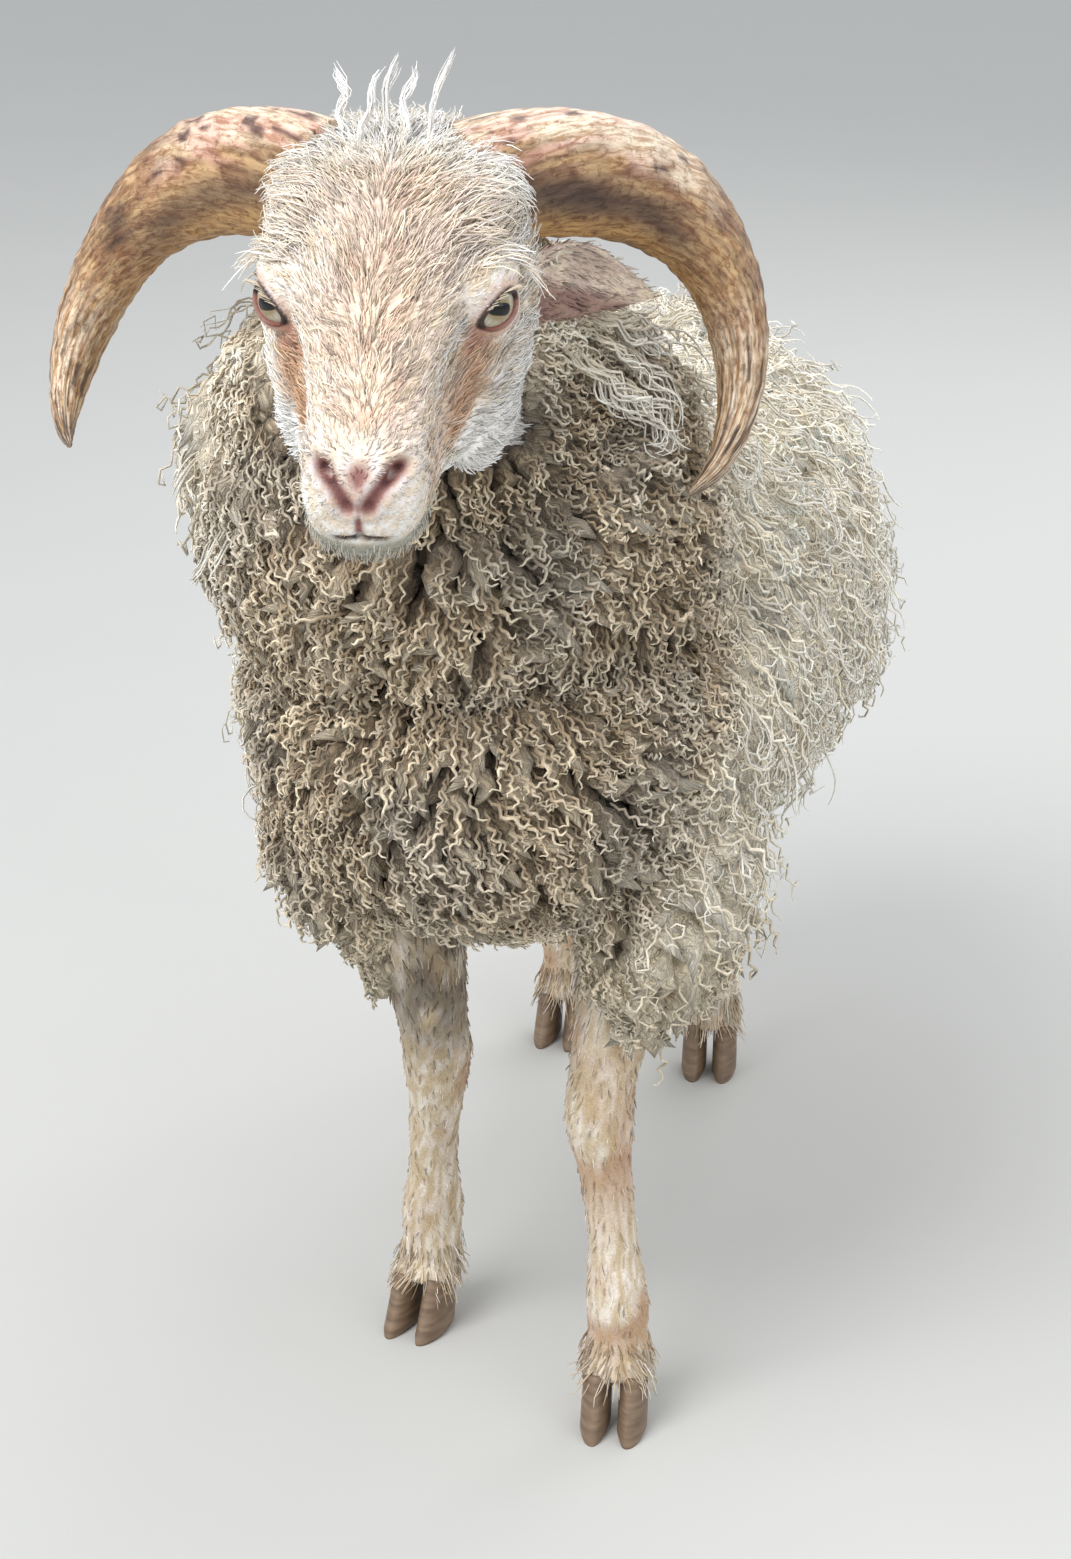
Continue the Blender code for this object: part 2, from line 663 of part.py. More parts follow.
# A cupped leaf: each ring is a crescent, round at the root
def ear(name, side, back, group):
    root, run, open_to, wide = ear_axes(side, back)
    rings = []
    steps = 11
    arc = 6
    for k in range(steps + 1):
        t = k / steps
        here = root + run * (EAR_LENGTH * t - 0.012) - open_to * 0.006 * math.sin(math.pi * t)
        shape = math.sin(math.pi * min(0.16 + 0.84 * t, 0.985)) ** 0.62
        shape = shape * (0.74 + 0.3 * math.sin(math.pi * min(t * 1.15, 1.0)))
        half = EAR_WIDTH / 2 * shape * (1.0 if t > 0.15 else 0.75 + 1.66 * t)
        cup = 0.55 * half * (1 - 0.35 * t)
        wall = EAR_WALL / 2
        hollow = min(max((t - 0.12) / 0.18, 0.0), 1.0)
        ring = []
        for i in range(arc + 1):
            u = -1 + 2 * i / arc
            ring.append(here + wide * half * u - open_to * (cup * (1 - u * u) + wall * (1 - 0.6 * u * u)))
        for i in range(arc + 1):
            u = 1 - 2 * i / arc
            u = u * (1 - 0.02)
            deep = cup * (1 - u * u) * (2 * hollow - 1) - wall * (1 - 0.6 * u * u)
            ring.append(here + wide * (half - wall * 0.3) * u - open_to * deep)
        rings.append(ring)
    return loft(name, rings, group, "ear", bulge=(0.0, 0.001))


# Trunk under the clumps, the table's outline drawn in by the inset
def trunk_form(group):
    rings = []
    steps = len(TRUNK) - 1
    across = Vector((1, 0, 0))
    upward = Vector((0, 0, 1))
    centre = (TRUNK[0][0] + TRUNK[-1][0]) / 2
    shorter = 1 - 2 * CORE_INSET / (TRUNK[-1][0] - TRUNK[0][0])
    for k in range(steps + 1):
        y, half, top, bottom = read_between(TRUNK, k)
        middle = (top + bottom) / 2
        reach = (top - bottom) / 2
        drawn_in = 1 - CORE_INSET / max(half, reach)
        y = centre + (y - centre) * shorter
        rings.append(oval(Vector((0, y, middle)), across, upward, half * drawn_in,
                          reach * drawn_in, reach * drawn_in, CORE_SIDES))
    return loft("fleece", rings, group, bulge=(0.004, 0.004))


def neck_form(group):
    rings = []
    for k in range(len(NECK)):
        x, y, z, wide, deep = read_between(NECK, k)
        ahead = Vector(read_between(NECK, k + 0.2)[:3])
        back = Vector(read_between(NECK, k - 0.2)[:3])
        run = (ahead - back).normalized()
        across = Vector((1, 0, 0))
        across = (across - run * across.dot(run)).normalized()
        front = across.cross(run)
        drawn_in = 1 - CORE_INSET / max(wide, 2 * CORE_INSET)
        rings.append(oval(Vector((x, y, z)), across, front, wide * drawn_in, deep * drawn_in,
                          deep * drawn_in, CORE_SIDES))
    return loft("neck_form", rings, group, bulge=(0.004, 0.004))


def limb_wool(group):
    for name, (centre, radii) in LIMB_WOOL.items():
        ball(name, centre, [radius - CORE_INSET * 0.7 for radius in radii], group, 10, 6)


# Points spread evenly over the outside of overlapping forms, each with the way out
def scatter(forms, spacing, tries, chance):
    faces = [(form, face) for form in forms for face in form.data.polygons]
    weights = [face.area for form, face in faces]
    kept = [(Vector(root), Vector(outward).normalized()) for root, outward in TAIL_CLUMPS]
    for form, face in chance.choices(faces, weights, k=tries):
        corners = [form.data.vertices[v].co for v in sorted(face.vertices)]
        share = sorted((chance.random(), chance.random()))
        spot = (corners[0] * share[0] + corners[1] * (share[1] - share[0])
                + corners[2] * (1 - share[1]))
        crowded = any((spot - other).length < spacing for other, _ in kept)
        if not crowded and not any(holds(other, spot) for other in forms if other is not form):
            kept.append((spot, face.normal.copy()))
    return kept


def holds(form, spot):
    found, nearest, outward, face = form.closest_point_on_mesh(spot)
    return found and (spot - nearest).dot(outward) < 0


# One rounded clump: a dome whose tip leans along the lie of the wool
def clump(spot, outward, group, chance):
    lie = Vector(WOOL_LIE)
    lie = (lie - outward * lie.dot(outward)).normalized()
    across = outward.cross(lie)
    width = CLUMP_WIDTH * (0.9 + 0.2 * chance.random())
    rise = CLUMP_RISE * (0.85 + 0.2 * chance.random())
    spin = chance.random() * math.pi
    rings = []
    for level, share in CLUMP_PROFILE:
        lean = lie * CLUMP_LEAN * width * max(level, 0.0) ** 1.5
        ring = []
        for i in range(CLUMP_SIDES):
            angle = spin + 2 * math.pi * i / CLUMP_SIDES
            reach = width / 2 * share * (0.92 + 0.16 * chance.random())
            ring.append(spot + outward * rise * level + lean
                        + across * math.cos(angle) * reach + lie * math.sin(angle) * reach)
        rings.append(ring)
    return loft("clump", rings, group, bulge=(0.0, rise * (1 - CLUMP_PROFILE[-1][0])))


def set_clumps(forms, group):
    chance = random.Random(SEED)
    for spot, outward in scatter(forms, CLUMP_SPACING, CLUMP_TRIES, chance):
        if not over_leg(spot):
            clump(spot, outward, group, chance)


# True where a leg comes out of the wool, which has to stay free of clumps
def over_leg(spot):
    for leg in LEGS.values():
        heights = [-row[0] for row in leg["line"]]
        x, y = (np.interp(-spot.z, heights, [row[k] for row in leg["line"]]) for k in (1, 2))
        if math.hypot(spot.x - x, spot.y - y) < LEG_CLEARANCE and spot.z < leg["line"][0][0]:
            return True
    return False


# Thick slab on one side of the cut between neck and trunk
def neck_slab(side):
    tilt = Matrix.Rotation(math.radians(NECK_CUT_TILT), 3, "X")
    upward = tilt @ Vector((0, 0, 1))
    centre = Vector(NECK_CUT_AT) + upward * side * (0.5 - GAP / 2)
    return box("neck_slab", Matrix.Translation(centre) @ tilt.to_4x4())


def make_fleece():
    torso = trunk_form("ouessant_sheep")
    torso.name = "torso"
    neck_form("fleece_pieces")
    limb_wool("fleece_pieces")
    tail_form("fleece_pieces")
    bpy.context.view_layer.update()
    set_clumps([torso, *collection("fleece_pieces").objects], "clumps")
    join(torso, "fleece_pieces")
    join(torso, "clumps", "MANIFOLD")
    thin(torso, FLEECE_KEPT)
    neck = copy_of(torso, "neck")
    tail = copy_of(torso, "tail")
    cut(neck, neck_slab(-1))
    cut(tail, tail_block(0.0), "INTERSECT")
    cut(torso, neck_slab(1))
    cut(torso, tail_block(GAP))
    return torso, neck


def copy_of(piece, name):
    twin = piece.copy()
    twin.data = piece.data.copy()
    twin.name = name
    collection("ouessant_sheep").objects.link(twin)
    return twin


def tail_form(group):
    rings = []
    across = Vector((1, 0, 0))
    for k in range(len(TAIL)):
        y, z, wide, deep = TAIL[k]
        ahead = read_between(TAIL, k + 0.2)
        back = read_between(TAIL, k - 0.2)
        run = Vector((0, ahead[0] - back[0], ahead[1] - back[1])).normalized()
        outer = across.cross(run)
        rings.append(oval(Vector((0, y, z)), across, outer, wide, deep, deep, 10))
    return loft("tail_form", rings, group, bulge=(0.0, 0.002))


# The block around the tail, behind the rump
def tail_block(grow):
    low = Vector(TAIL_CUT_LOW) - Vector((grow, grow, grow))
    high = Vector(TAIL_CUT_HIGH) + Vector((grow, grow, grow))
    place = Matrix.Translation((low + high) / 2) @ Matrix.Diagonal((*(high - low), 1.0))
    return box("tail_block", place)


def box(name, place):
    shape = bmesh.new()
    bmesh.ops.create_cube(shape, size=1.0)
    bmesh.ops.transform(shape, matrix=place, verts=shape.verts)
    mesh = bpy.data.meshes.new(name)
    shape.to_mesh(mesh)
    shape.free()
    made = bpy.data.objects.new(name, mesh)
    collection("cutters").objects.link(made)
    return made


# Sloping top edge of the foot: share 0 is the heel, 1 the toe
def coronet_height(share):
    return CORONET_BACK + (CORONET_FRONT - CORONET_BACK) * share


def foot_axes(leg):
    turn = math.radians(leg["turn"])
    ahead = Vector((math.sin(turn), -math.cos(turn), 0.0))
    across = Vector((math.cos(turn), math.sin(turn), 0.0))
    return Vector((*leg["toe"], 0.0)), ahead, across


def leg_piece(name, leg, group, grow=0.0):
    toe, ahead, across = foot_axes(leg)
    upward = Vector((0, 0, 1))
    rings = []
    for z, wide, deep in leg["sections"]:
        heights = [-row[0] for row in leg["line"]]
        position = np.interp(-z, heights, range(len(heights)))
        x, y = read_between([row[1:] for row in leg["line"]], position)
        top = grow if z == leg["sections"][0][0] else 0.0
        rings.append(oval(Vector((x, y, z + top)), across, -ahead, wide + grow,
                          deep + grow, deep + grow, LEG_SIDES))
    back = SOLE_LENGTH * 0.92
    for lift, swell in ((0.0100, 0.97), (GAP, 1.0)):
        ring = []
        for i in range(LEG_SIDES):
            angle = 2 * math.pi * i / LEG_SIDES
            share = (1 - math.sin(angle)) / 2
            front = TOE_SLOPE + (back - TOE_SLOPE + 0.004) * (1 - share) + lift * 0.6
            side = math.cos(angle) * (FOOT_WIDTH / 2 * swell + grow)
            ring.append(toe - ahead * front + across * side
                        + upward * (coronet_height(share) + lift))
        rings.append(ring)
    return loft(name, rings, group, "leg")


# One half of the cloven hoof, its inner wall along the cleft
def claw(name, leg, side, group):
    toe, ahead, across = foot_axes(leg)
    sides = 12
    rings = []
    for t in (0.0, 0.12, 0.6, 1.0):
        ring = []
        for i in range(sides):
            angle = 2 * math.pi * i / sides
            share = (1 - math.sin(angle)) / 2
            start = TOE_SLOPE * t
            length = SOLE_LENGTH * (0.92 if t == 0.0 else 1.0) - start
            shift = 0.001 if t == 0.0 else 0.0
            back = start + shift + length * (1 - share)
            inner = CLEFT / 2 + 0.0012 * share
            outer = FOOT_WIDTH / 2 - (0.0008 if t == 0.0 else 0.0) - 0.0005 * t
            middle = inner + (outer - inner) * 0.42
            c = math.cos(angle)
            reach = (outer - middle) if c > 0 else (middle - inner)
            x = middle + c * reach
            height = coronet_height(share) * t
            ring.append(toe - ahead * back + across * side * x + Vector((0, 0, height)))
        rings.append(ring)
    return loft(name, rings, group, "claw")


# Moves everything so that the middle of the box stands over the origin
def centre_on_origin():
    pieces = collection("ouessant_sheep").objects
    points = np.array([v.co for piece in pieces for v in piece.data.vertices])
    low = points.min(axis=0)
    high = points.max(axis=0)
    shift = Vector((-(low[0] + high[0]) / 2, -(low[1] + high[1]) / 2, -low[2]))
    for piece in pieces:
        piece.data.transform(Matrix.Translation(shift))


def make_sheep():
    clear_scene()
    collection("cutters")
    head = make_head()
    make_eye(1, "eye_left")
    make_eye(-1, "eye_right")
    torso, neck = make_fleece()
    for name, side, shape in (("horn_left", 1, LEFT_HORN), ("horn_right", -1, RIGHT_HORN)):
        horn(name, side, shape, "ouessant_sheep")
        cutter = horn(name + "_socket", side, shape, "cutters", GAP)
        cut(head, cutter)
        cut(neck, cutter)
    for name, side, back in (("ear_left", 1, LEFT_EAR_BACK), ("ear_right", -1, RIGHT_EAR_BACK)):
        cupped = ear(name, side, back, "ouessant_sheep")
        clear_of(cupped, head)
        cut(neck, ear_room(side, back))
    clear_of(neck, head)
    for name, leg in LEGS.items():
        leg_piece(name, leg, "ouessant_sheep")
        cut(torso, leg_piece(name + "_socket", leg, "cutters", GAP))
        for side, half in ((1, "outer"), (-1, "inner")):
            sign = side if name.endswith("left") else -side
            claw(name.replace("leg", "claw") + "_" + half, leg, sign, "ouessant_sheep")
    for piece in collection("ouessant_sheep").objects:
        tidy(piece)
        piece.data.shade_smooth()
        piece.data.set_sharp_from_angle(angle=math.radians(50))
    centre_on_origin()


make_sheep()
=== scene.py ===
# Ouessant ram, life size: one skin, eyes, horns and claws, and a coat of solid tufts and locks
import math
from types import SimpleNamespace

import bpy
import numpy as np
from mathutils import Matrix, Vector


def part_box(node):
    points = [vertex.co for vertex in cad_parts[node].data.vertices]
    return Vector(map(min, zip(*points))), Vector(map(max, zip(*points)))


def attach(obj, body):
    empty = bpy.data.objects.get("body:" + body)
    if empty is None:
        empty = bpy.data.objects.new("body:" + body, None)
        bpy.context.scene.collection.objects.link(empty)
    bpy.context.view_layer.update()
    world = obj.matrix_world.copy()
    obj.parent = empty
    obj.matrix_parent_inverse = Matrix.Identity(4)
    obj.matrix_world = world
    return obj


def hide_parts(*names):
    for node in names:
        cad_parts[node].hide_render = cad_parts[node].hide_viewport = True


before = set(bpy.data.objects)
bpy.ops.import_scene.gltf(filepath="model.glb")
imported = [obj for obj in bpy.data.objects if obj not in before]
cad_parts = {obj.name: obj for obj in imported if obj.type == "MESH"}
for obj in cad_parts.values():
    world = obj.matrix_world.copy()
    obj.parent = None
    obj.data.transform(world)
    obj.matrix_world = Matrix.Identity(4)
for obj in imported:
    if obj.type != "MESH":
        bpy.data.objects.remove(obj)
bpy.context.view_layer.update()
up = np.array([0.0, 0.0, 1.0])

# Small helpers, all on whole arrays


def unit(vectors):
    return vectors / np.maximum(np.linalg.norm(vectors, axis=-1, keepdims=True), 1e-12)


def dot(a, b):
    return (a * b).sum(-1)


def rise(x, low, high):  # 0 below low, 1 above high and an even S between, 3t^2 - 2t^3
    t = np.clip((x - low) / (high - low), 0, 1)
    return t * t * (3 - 2 * t)


def hill(x, middle, width):  # a bell: 1 at the middle, falling as e to the power -(distance / width)^2
    return np.exp(-(((x - middle) / width) ** 2))


def mix(a, b, share):
    return a + (b - a) * np.asarray(share)[..., None]


def layered(tint, tones, layers):  # colours laid over the tint one after the other, each with its share
    for key, share in layers:
        tint = mix(tint, tones[key], share)
    return tint


def between(table, at):  # rows of a table at places between its rows, on smooth cubic curves
    table = np.asarray(table, float)
    at = np.clip(np.asarray(at, float), 0, len(table) - 1)
    low = np.minimum(at.astype(int), len(table) - 2)
    t = (at - low)[:, None]
    slope = np.gradient(table, axis=0)
    return ((2 * t**3 - 3 * t**2 + 1) * table[low] + (t**3 - 2 * t**2 + t) * slope[low]
            + (3 * t**2 - 2 * t**3) * table[low + 1] + (t**3 - t**2) * slope[low + 1])


noiseCube = np.random.default_rng(5).random((32, 32, 32))


def cloud(points, size, seed=0):  # soft noise from 0 to 1, patches about size across
    q = points / size + seed * 7.31
    low = np.floor(q).astype(int)
    f = q - low
    f = f * f * (3 - 2 * f)
    total = 0
    for dx in (0, 1):
        for dy in (0, 1):
            for dz in (0, 1):
                share = ((f[..., 0] if dx else 1 - f[..., 0]) * (f[..., 1] if dy else 1 - f[..., 1])
                         * (f[..., 2] if dz else 1 - f[..., 2]))
                total = total + share * noiseCube[(low[..., 0] + dx) % 32, (low[..., 1] + dy) % 32,
                                                  (low[..., 2] + dz) % 32]
    return total


def lineDistance(points, line):  # distance of points to a line of straight stretches
    best = np.full(points.shape[:-1], 9.0)
    for a, b in zip(np.asarray(line[:-1], float), np.asarray(line[1:], float)):
        run = b - a
        t = np.clip(dot(points - a, run) / dot(run, run), 0, 1)
        best = np.minimum(best, np.linalg.norm(points - a - t[..., None] * run, axis=-1))
    return best


# The head's own axes: behind the eyes, out to the sheep's left, up

head = {
    "eyeMiddle": (-0.0138, -0.172, 0.600), "turn": 5.5, "drop": 29.0,
    "eyeRadius": 0.0118, "eyeOut": 0.0405, "eyeUp": 0.0025, "eyeAim": 42.0, "eyeLift": 14.0,
    "endAngles": (1.35, 1.05, .75, .45), "endDepth": .0016,
    # behind, top, brow (out, up), cheek (out, up), jaw (out, up), bottom
    "rows": [
        (-.1065, -.012, .0080, -.014, .0125, -.020, .0085, -.0285, -.032),
        (-.1045, -.006, .0120, -.008, .0182, -.018, .0122, -.0325, -.0375),
        (-.0980, -.001, .0140, -.003, .0222, -.0165, .0152, -.037, -.043),
        (-.0870, .004, .0145, .001, .0250, -.016, .0182, -.0395, -.0465),
        (-.0730, .009, .0145, .006, .0262, -.016, .0202, -.042, -.0495),
        (-.0550, .016, .0150, .012, .0275, -.016, .0240, -.044, -.053),
        (-.0360, .023, .0180, .018, .0320, -.014, .0310, -.047, -.061),
        (-.0180, .029, .0240, .024, .0390, -.012, .0400, -.049, -.068),
        (.0000, .035, .0310, .029, .0445, -.010, .0470, -.049, -.073),
        (.0200, .040, .0370, .033, .0500, -.010, .0500, -.048, -.076),
        (.0450, .041, .0390, .032, .0530, -.010, .0480, -.045, -.072),
        (.0700, .036, .0350, .026, .0470, -.010, .0400, -.040, -.060),
        (.0900, .022, .0230, .014, .0320, -.012, .0250, -.034, -.044),
        (.0980, .006, .0100, .002, .0130, -.010, .0100, -.022, -.026)],
}
eyeMiddle = np.array(head["eyeMiddle"])
turnBy, dropBy = math.radians(head["turn"]), math.radians(head["drop"])
across = np.array([math.cos(turnBy), math.sin(turnBy), 0])
level = np.array([math.sin(turnBy), -math.cos(turnBy), 0])
ahead = level * math.cos(dropBy) - up * math.sin(dropBy)
upward = level * math.sin(dropBy) + up * math.cos(dropBy)


def inHead(spots):  # (behind, out, up) to a place beside the sheep
    spots = np.asarray(spots, float)
    return (eyeMiddle - ahead * spots[..., :1] + across * spots[..., 1:2] + upward * spots[..., 2:3])


def headSpots(points):  # the other way round; behind, out and up are b, o and u below
    q = points - eyeMiddle
    return np.stack([-(q @ ahead), q @ across, q @ upward], -1)


low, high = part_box("eye_left")
place = (np.array(low) + np.array(high)) / 2 - inHead((0, head["eyeOut"], head["eyeUp"]))

# Meshes


def makeMesh(name, points, faceSets):
    mesh = bpy.data.meshes.new(name)
    corners = np.concatenate([np.asarray(f).ravel() for f in faceSets]).astype(np.int32)
    sizes = np.concatenate([np.full(len(f), np.asarray(f).shape[1]) for f in faceSets])
    mesh.vertices.add(len(points))
    mesh.vertices.foreach_set("co", (points + place).astype(np.float32).ravel())
    mesh.loops.add(len(corners))
    mesh.loops.foreach_set("vertex_index", corners)
    mesh.polygons.add(len(sizes))
    mesh.polygons.foreach_set("loop_start", np.concatenate([[0], np.cumsum(sizes)[:-1]]).astype(np.int32))
    mesh.update(calc_edges=True)
    mesh.shade_smooth()
    return mesh


def setUv(mesh, name, uv):  # one pair for each vertex
    corners = np.zeros(len(mesh.loops), np.int32)
    mesh.loops.foreach_get("vertex_index", corners)
    layer = mesh.uv_layers.new(name=name)
    layer.uv.foreach_set("vector", uv[corners].astype(np.float32).ravel())


def setColour(mesh, name, colours):
    layer = mesh.color_attributes.new(name, "FLOAT_COLOR", "POINT")
    whole = np.concatenate([colours, np.ones((len(colours), 1))], 1)
    layer.data.foreach_set("color", whole.astype(np.float32).ravel())


def addPiece(name, mesh, material, nodes=()):
    piece = bpy.data.objects.new(name, mesh)
    bpy.context.scene.collection.objects.link(piece)
    mesh.materials.append(material)
    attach(piece, "root")
    if nodes:
        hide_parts(*nodes)
    return piece


def readMesh(mesh):
    points = np.zeros(len(mesh.vertices) * 3, np.float32)
    mesh.vertices.foreach_get("co", points)
    normals = np.zeros(len(mesh.vertices) * 3, np.float32)
    mesh.vertices.foreach_get("normal", normals)
    return points.reshape(-1, 3).astype(float) - place, normals.reshape(-1, 3).astype(float)


def insideOut(points, quads, centre):  # the signed volume tells which way the faces look
    a, b, c = (points[quads[:, k]] - centre for k in range(3))
    return dot(np.cross(a, b), c).sum() < 0


# Rings of points (rings, sides, 3) closed at both ends with a fan, faces outwards
def tube(name, rings):
    count, sides = rings.shape[:2]
    index = np.arange(count * sides).reshape(count, sides)
    beside = np.roll(index, -1, 1)
    quads = np.stack([index[:-1], beside[:-1], beside[1:], index[1:]], -1).reshape(-1, 4)
    first, last = count * sides, count * sides + 1
    fans = np.concatenate([
        np.stack([beside[0], index[0], np.full(sides, first)], -1),
        np.stack([index[-1], beside[-1], np.full(sides, last)], -1)])
    points = np.concatenate([rings.reshape(-1, 3), rings[0].mean(0)[None], rings[-1].mean(0)[None]])
    if insideOut(points, quads, points.mean(0)):
        quads, fans = quads[:, ::-1], fans[:, ::-1]
    return makeMesh(name, points, [quads, fans])


# Ovals round the middles: full is 2 for an ellipse, more for a squarer one
def ovalRings(middles, sideways, forwards, wide, deep, sides, full=2.0):
    angle = np.linspace(0, 2 * math.pi, sides, endpoint=False)
    c = np.sign(np.cos(angle)) * np.abs(np.cos(angle)) ** (2 / full)
    s = np.sign(np.sin(angle)) * np.abs(np.sin(angle)) ** (2 / full)
    return (middles[:, None] + sideways[:, None] * (wide[:, None] * c)[..., None]
            + forwards[:, None] * (deep[:, None] * s)[..., None])


def ballRings(centre, axes, radii, rings=24, sides=36):
    t = np.linspace(0.04, math.pi - 0.04, rings)
    axes = np.asarray(axes, float)
    middles = centre + axes[2] * (np.cos(t) * radii[2])[:, None]
    sideways, forwards = (np.repeat(axes[k][None], rings, 0) for k in (0, 1))
    return ovalRings(middles, sideways, forwards, np.sin(t) * radii[0], np.sin(t) * radii[1], sides)


def applied(mesh, steps):  # a mesh after modifiers, each given as (type, values)
    thing = bpy.data.objects.new("worked", mesh)
    bpy.context.scene.collection.objects.link(thing)
    for kind, values in steps:
        modifier = thing.modifiers.new(kind, kind)
        for key, value in values.items():
            setattr(modifier, key, value)
    graph = bpy.context.evaluated_depsgraph_get()
    done = bpy.data.meshes.new_from_object(thing.evaluated_get(graph))
    bpy.data.objects.remove(thing)
    return done


def withOthers(mesh, others, operation):  # the mesh cut by the others or grown together with them
    group = bpy.data.collections.new("others")
    bpy.context.scene.collection.children.link(group)
    things = [bpy.data.objects.new("other", other) for other in others]
    for thing in things:
        group.objects.link(thing)
    done = applied(mesh, [("BOOLEAN", {"operation": operation, "operand_type": "COLLECTION",
                                       "collection": group, "solver": "MANIFOLD"})])
    for thing in things:
        bpy.data.objects.remove(thing)
    bpy.data.collections.remove(group)
    return done


def meshTriangles(mesh):
    mesh.calc_loop_triangles()
    index = np.zeros(len(mesh.loop_triangles) * 3, np.int32)
    mesh.loop_triangles.foreach_get("vertices", index)
    return index.reshape(-1, 3)


def joined(name, meshes):
    points, faces, count = [], [], 0
    for mesh in meshes:
        here = readMesh(mesh)[0]
        points.append(here)
        faces.append(meshTriangles(mesh) + count)
        count += len(here)
    return makeMesh(name, np.concatenate(points), [np.concatenate(faces)])


# Each point drawn towards its neighbours and then pushed a little less far back, so that nothing shrinks
def relaxed(mesh, rounds, pull=.50, push=.45):
    points = readMesh(mesh)[0]
    edges = np.zeros(len(mesh.edges) * 2, np.int32)
    mesh.edges.foreach_get("vertices", edges)
    a, b = edges.reshape(-1, 2).T
    count = np.bincount(np.concatenate([a, b]), minlength=len(points))[:, None]
    for turn in range(rounds * 2):
        total = np.zeros_like(points)
        for axis in range(3):
            total[:, axis] = (np.bincount(a, points[b, axis], len(points))
                              + np.bincount(b, points[a, axis], len(points)))
        points += (total / np.maximum(count, 1) - points) * (pull if turn % 2 == 0 else -push)
    mesh.vertices.foreach_set("co", (points + place).astype(np.float32).ravel())
    mesh.update()
    return mesh


# Body, limbs and tail under the coat

body = {
    "coatDepth": 0.026,
    # y, half width, top, bottom of the fleece
    "trunk": [(-.128, .030, .400, .345), (-.120, .066, .435, .310), (-.098, .097, .462, .282),
              (-.055, .123, .490, .258), (.010, .138, .512, .245), (.085, .146, .512, .236),
              (.170, .153, .504, .228), (.250, .154, .498, .232), (.325, .147, .492, .248),
              (.390, .128, .480, .275), (.434, .098, .461, .314), (.455, .060, .440, .354),
              (.461, .027, .418, .382)],
    # x, y, z, half width, half depth
    "neck": [(0, .050, .385, .112, .112), (-.004, .008, .430, .122, .116), (-.018, -.030, .478, .126, .112),
             (-.027, -.060, .520, .114, .096), (-.030, -.085, .556, .089, .075),
             (-.028, -.098, .585, .062, .054), (-.027, -.102, .605, .038, .034),
             (-.026, -.104, .615, .016, .015)],
    # middle and half sizes of the wool at the top of each leg
    "limbWool": [((.073, 0, .292), (.051, .074, .094)), ((-.064, .002, .316), (.052, .074, .084)),
                 ((.084, .352, .316), (.058, .088, .108)), ((-.084, .360, .316), (.058, .088, .108))],
    # y, z, half width, half depth
    "tail": [(.400, .440, .022, .018), (.430, .432, .026, .020), (.456, .408, .026, .018),
             (.464, .374, .024, .016), (.465, .342, .018, .012), (.464, .324, .008, .006)],
}


def finer(table, count):  # the table's rows on smooth curves, count of them
    return between(table, np.linspace(0, len(table) - 1, count))


# Trunk, neck and tail lie inside the fleece by the coat's depth
def trunkMesh():
    y, half, top, bottom = finer(body["trunk"], 60).T
    inset = body["coatDepth"]
    middle, reach = (top + bottom) / 2, (top - bottom) / 2
    drawn = 1 - inset / np.maximum(half, reach)
    ends = body["trunk"][0][0], body["trunk"][-1][0]
    centre = sum(ends) / 2
    y = centre + (y - centre) * (1 - 2 * inset / (ends[1] - ends[0]))
    middles = np.stack([y * 0, y, middle], -1)
    sideways, forwards = np.repeat([[1.0, 0, 0]], 60, 0), np.repeat([up], 60, 0)
    return tube("trunk", ovalRings(middles, sideways, forwards, half * drawn, reach * drawn, 72))


def neckMesh():
    rows = finer(body["neck"], 50)
    middles, wide, deep = rows[:, :3], rows[:, 3], rows[:, 4]
    run = unit(np.gradient(middles, axis=0))
    sideways = unit(np.array([1.0, 0, 0]) - run * run[:, :1])
    drawn = 1 - body["coatDepth"] / np.maximum(wide, 2 * body["coatDepth"])
    return tube("neck", ovalRings(middles, sideways, np.cross(sideways, run), wide * drawn, deep * drawn, 64))


def tailMesh():
    y, z, wide, deep = finer(body["tail"], 24).T
    middles = np.stack([y * 0, y, z], -1)
    run = unit(np.gradient(middles, axis=0))
    sideways = np.repeat([[1.0, 0, 0]], 24, 0)
    return tube("tail", ovalRings(middles, sideways, np.cross(sideways, run), wide * .85, deep * .85, 24))


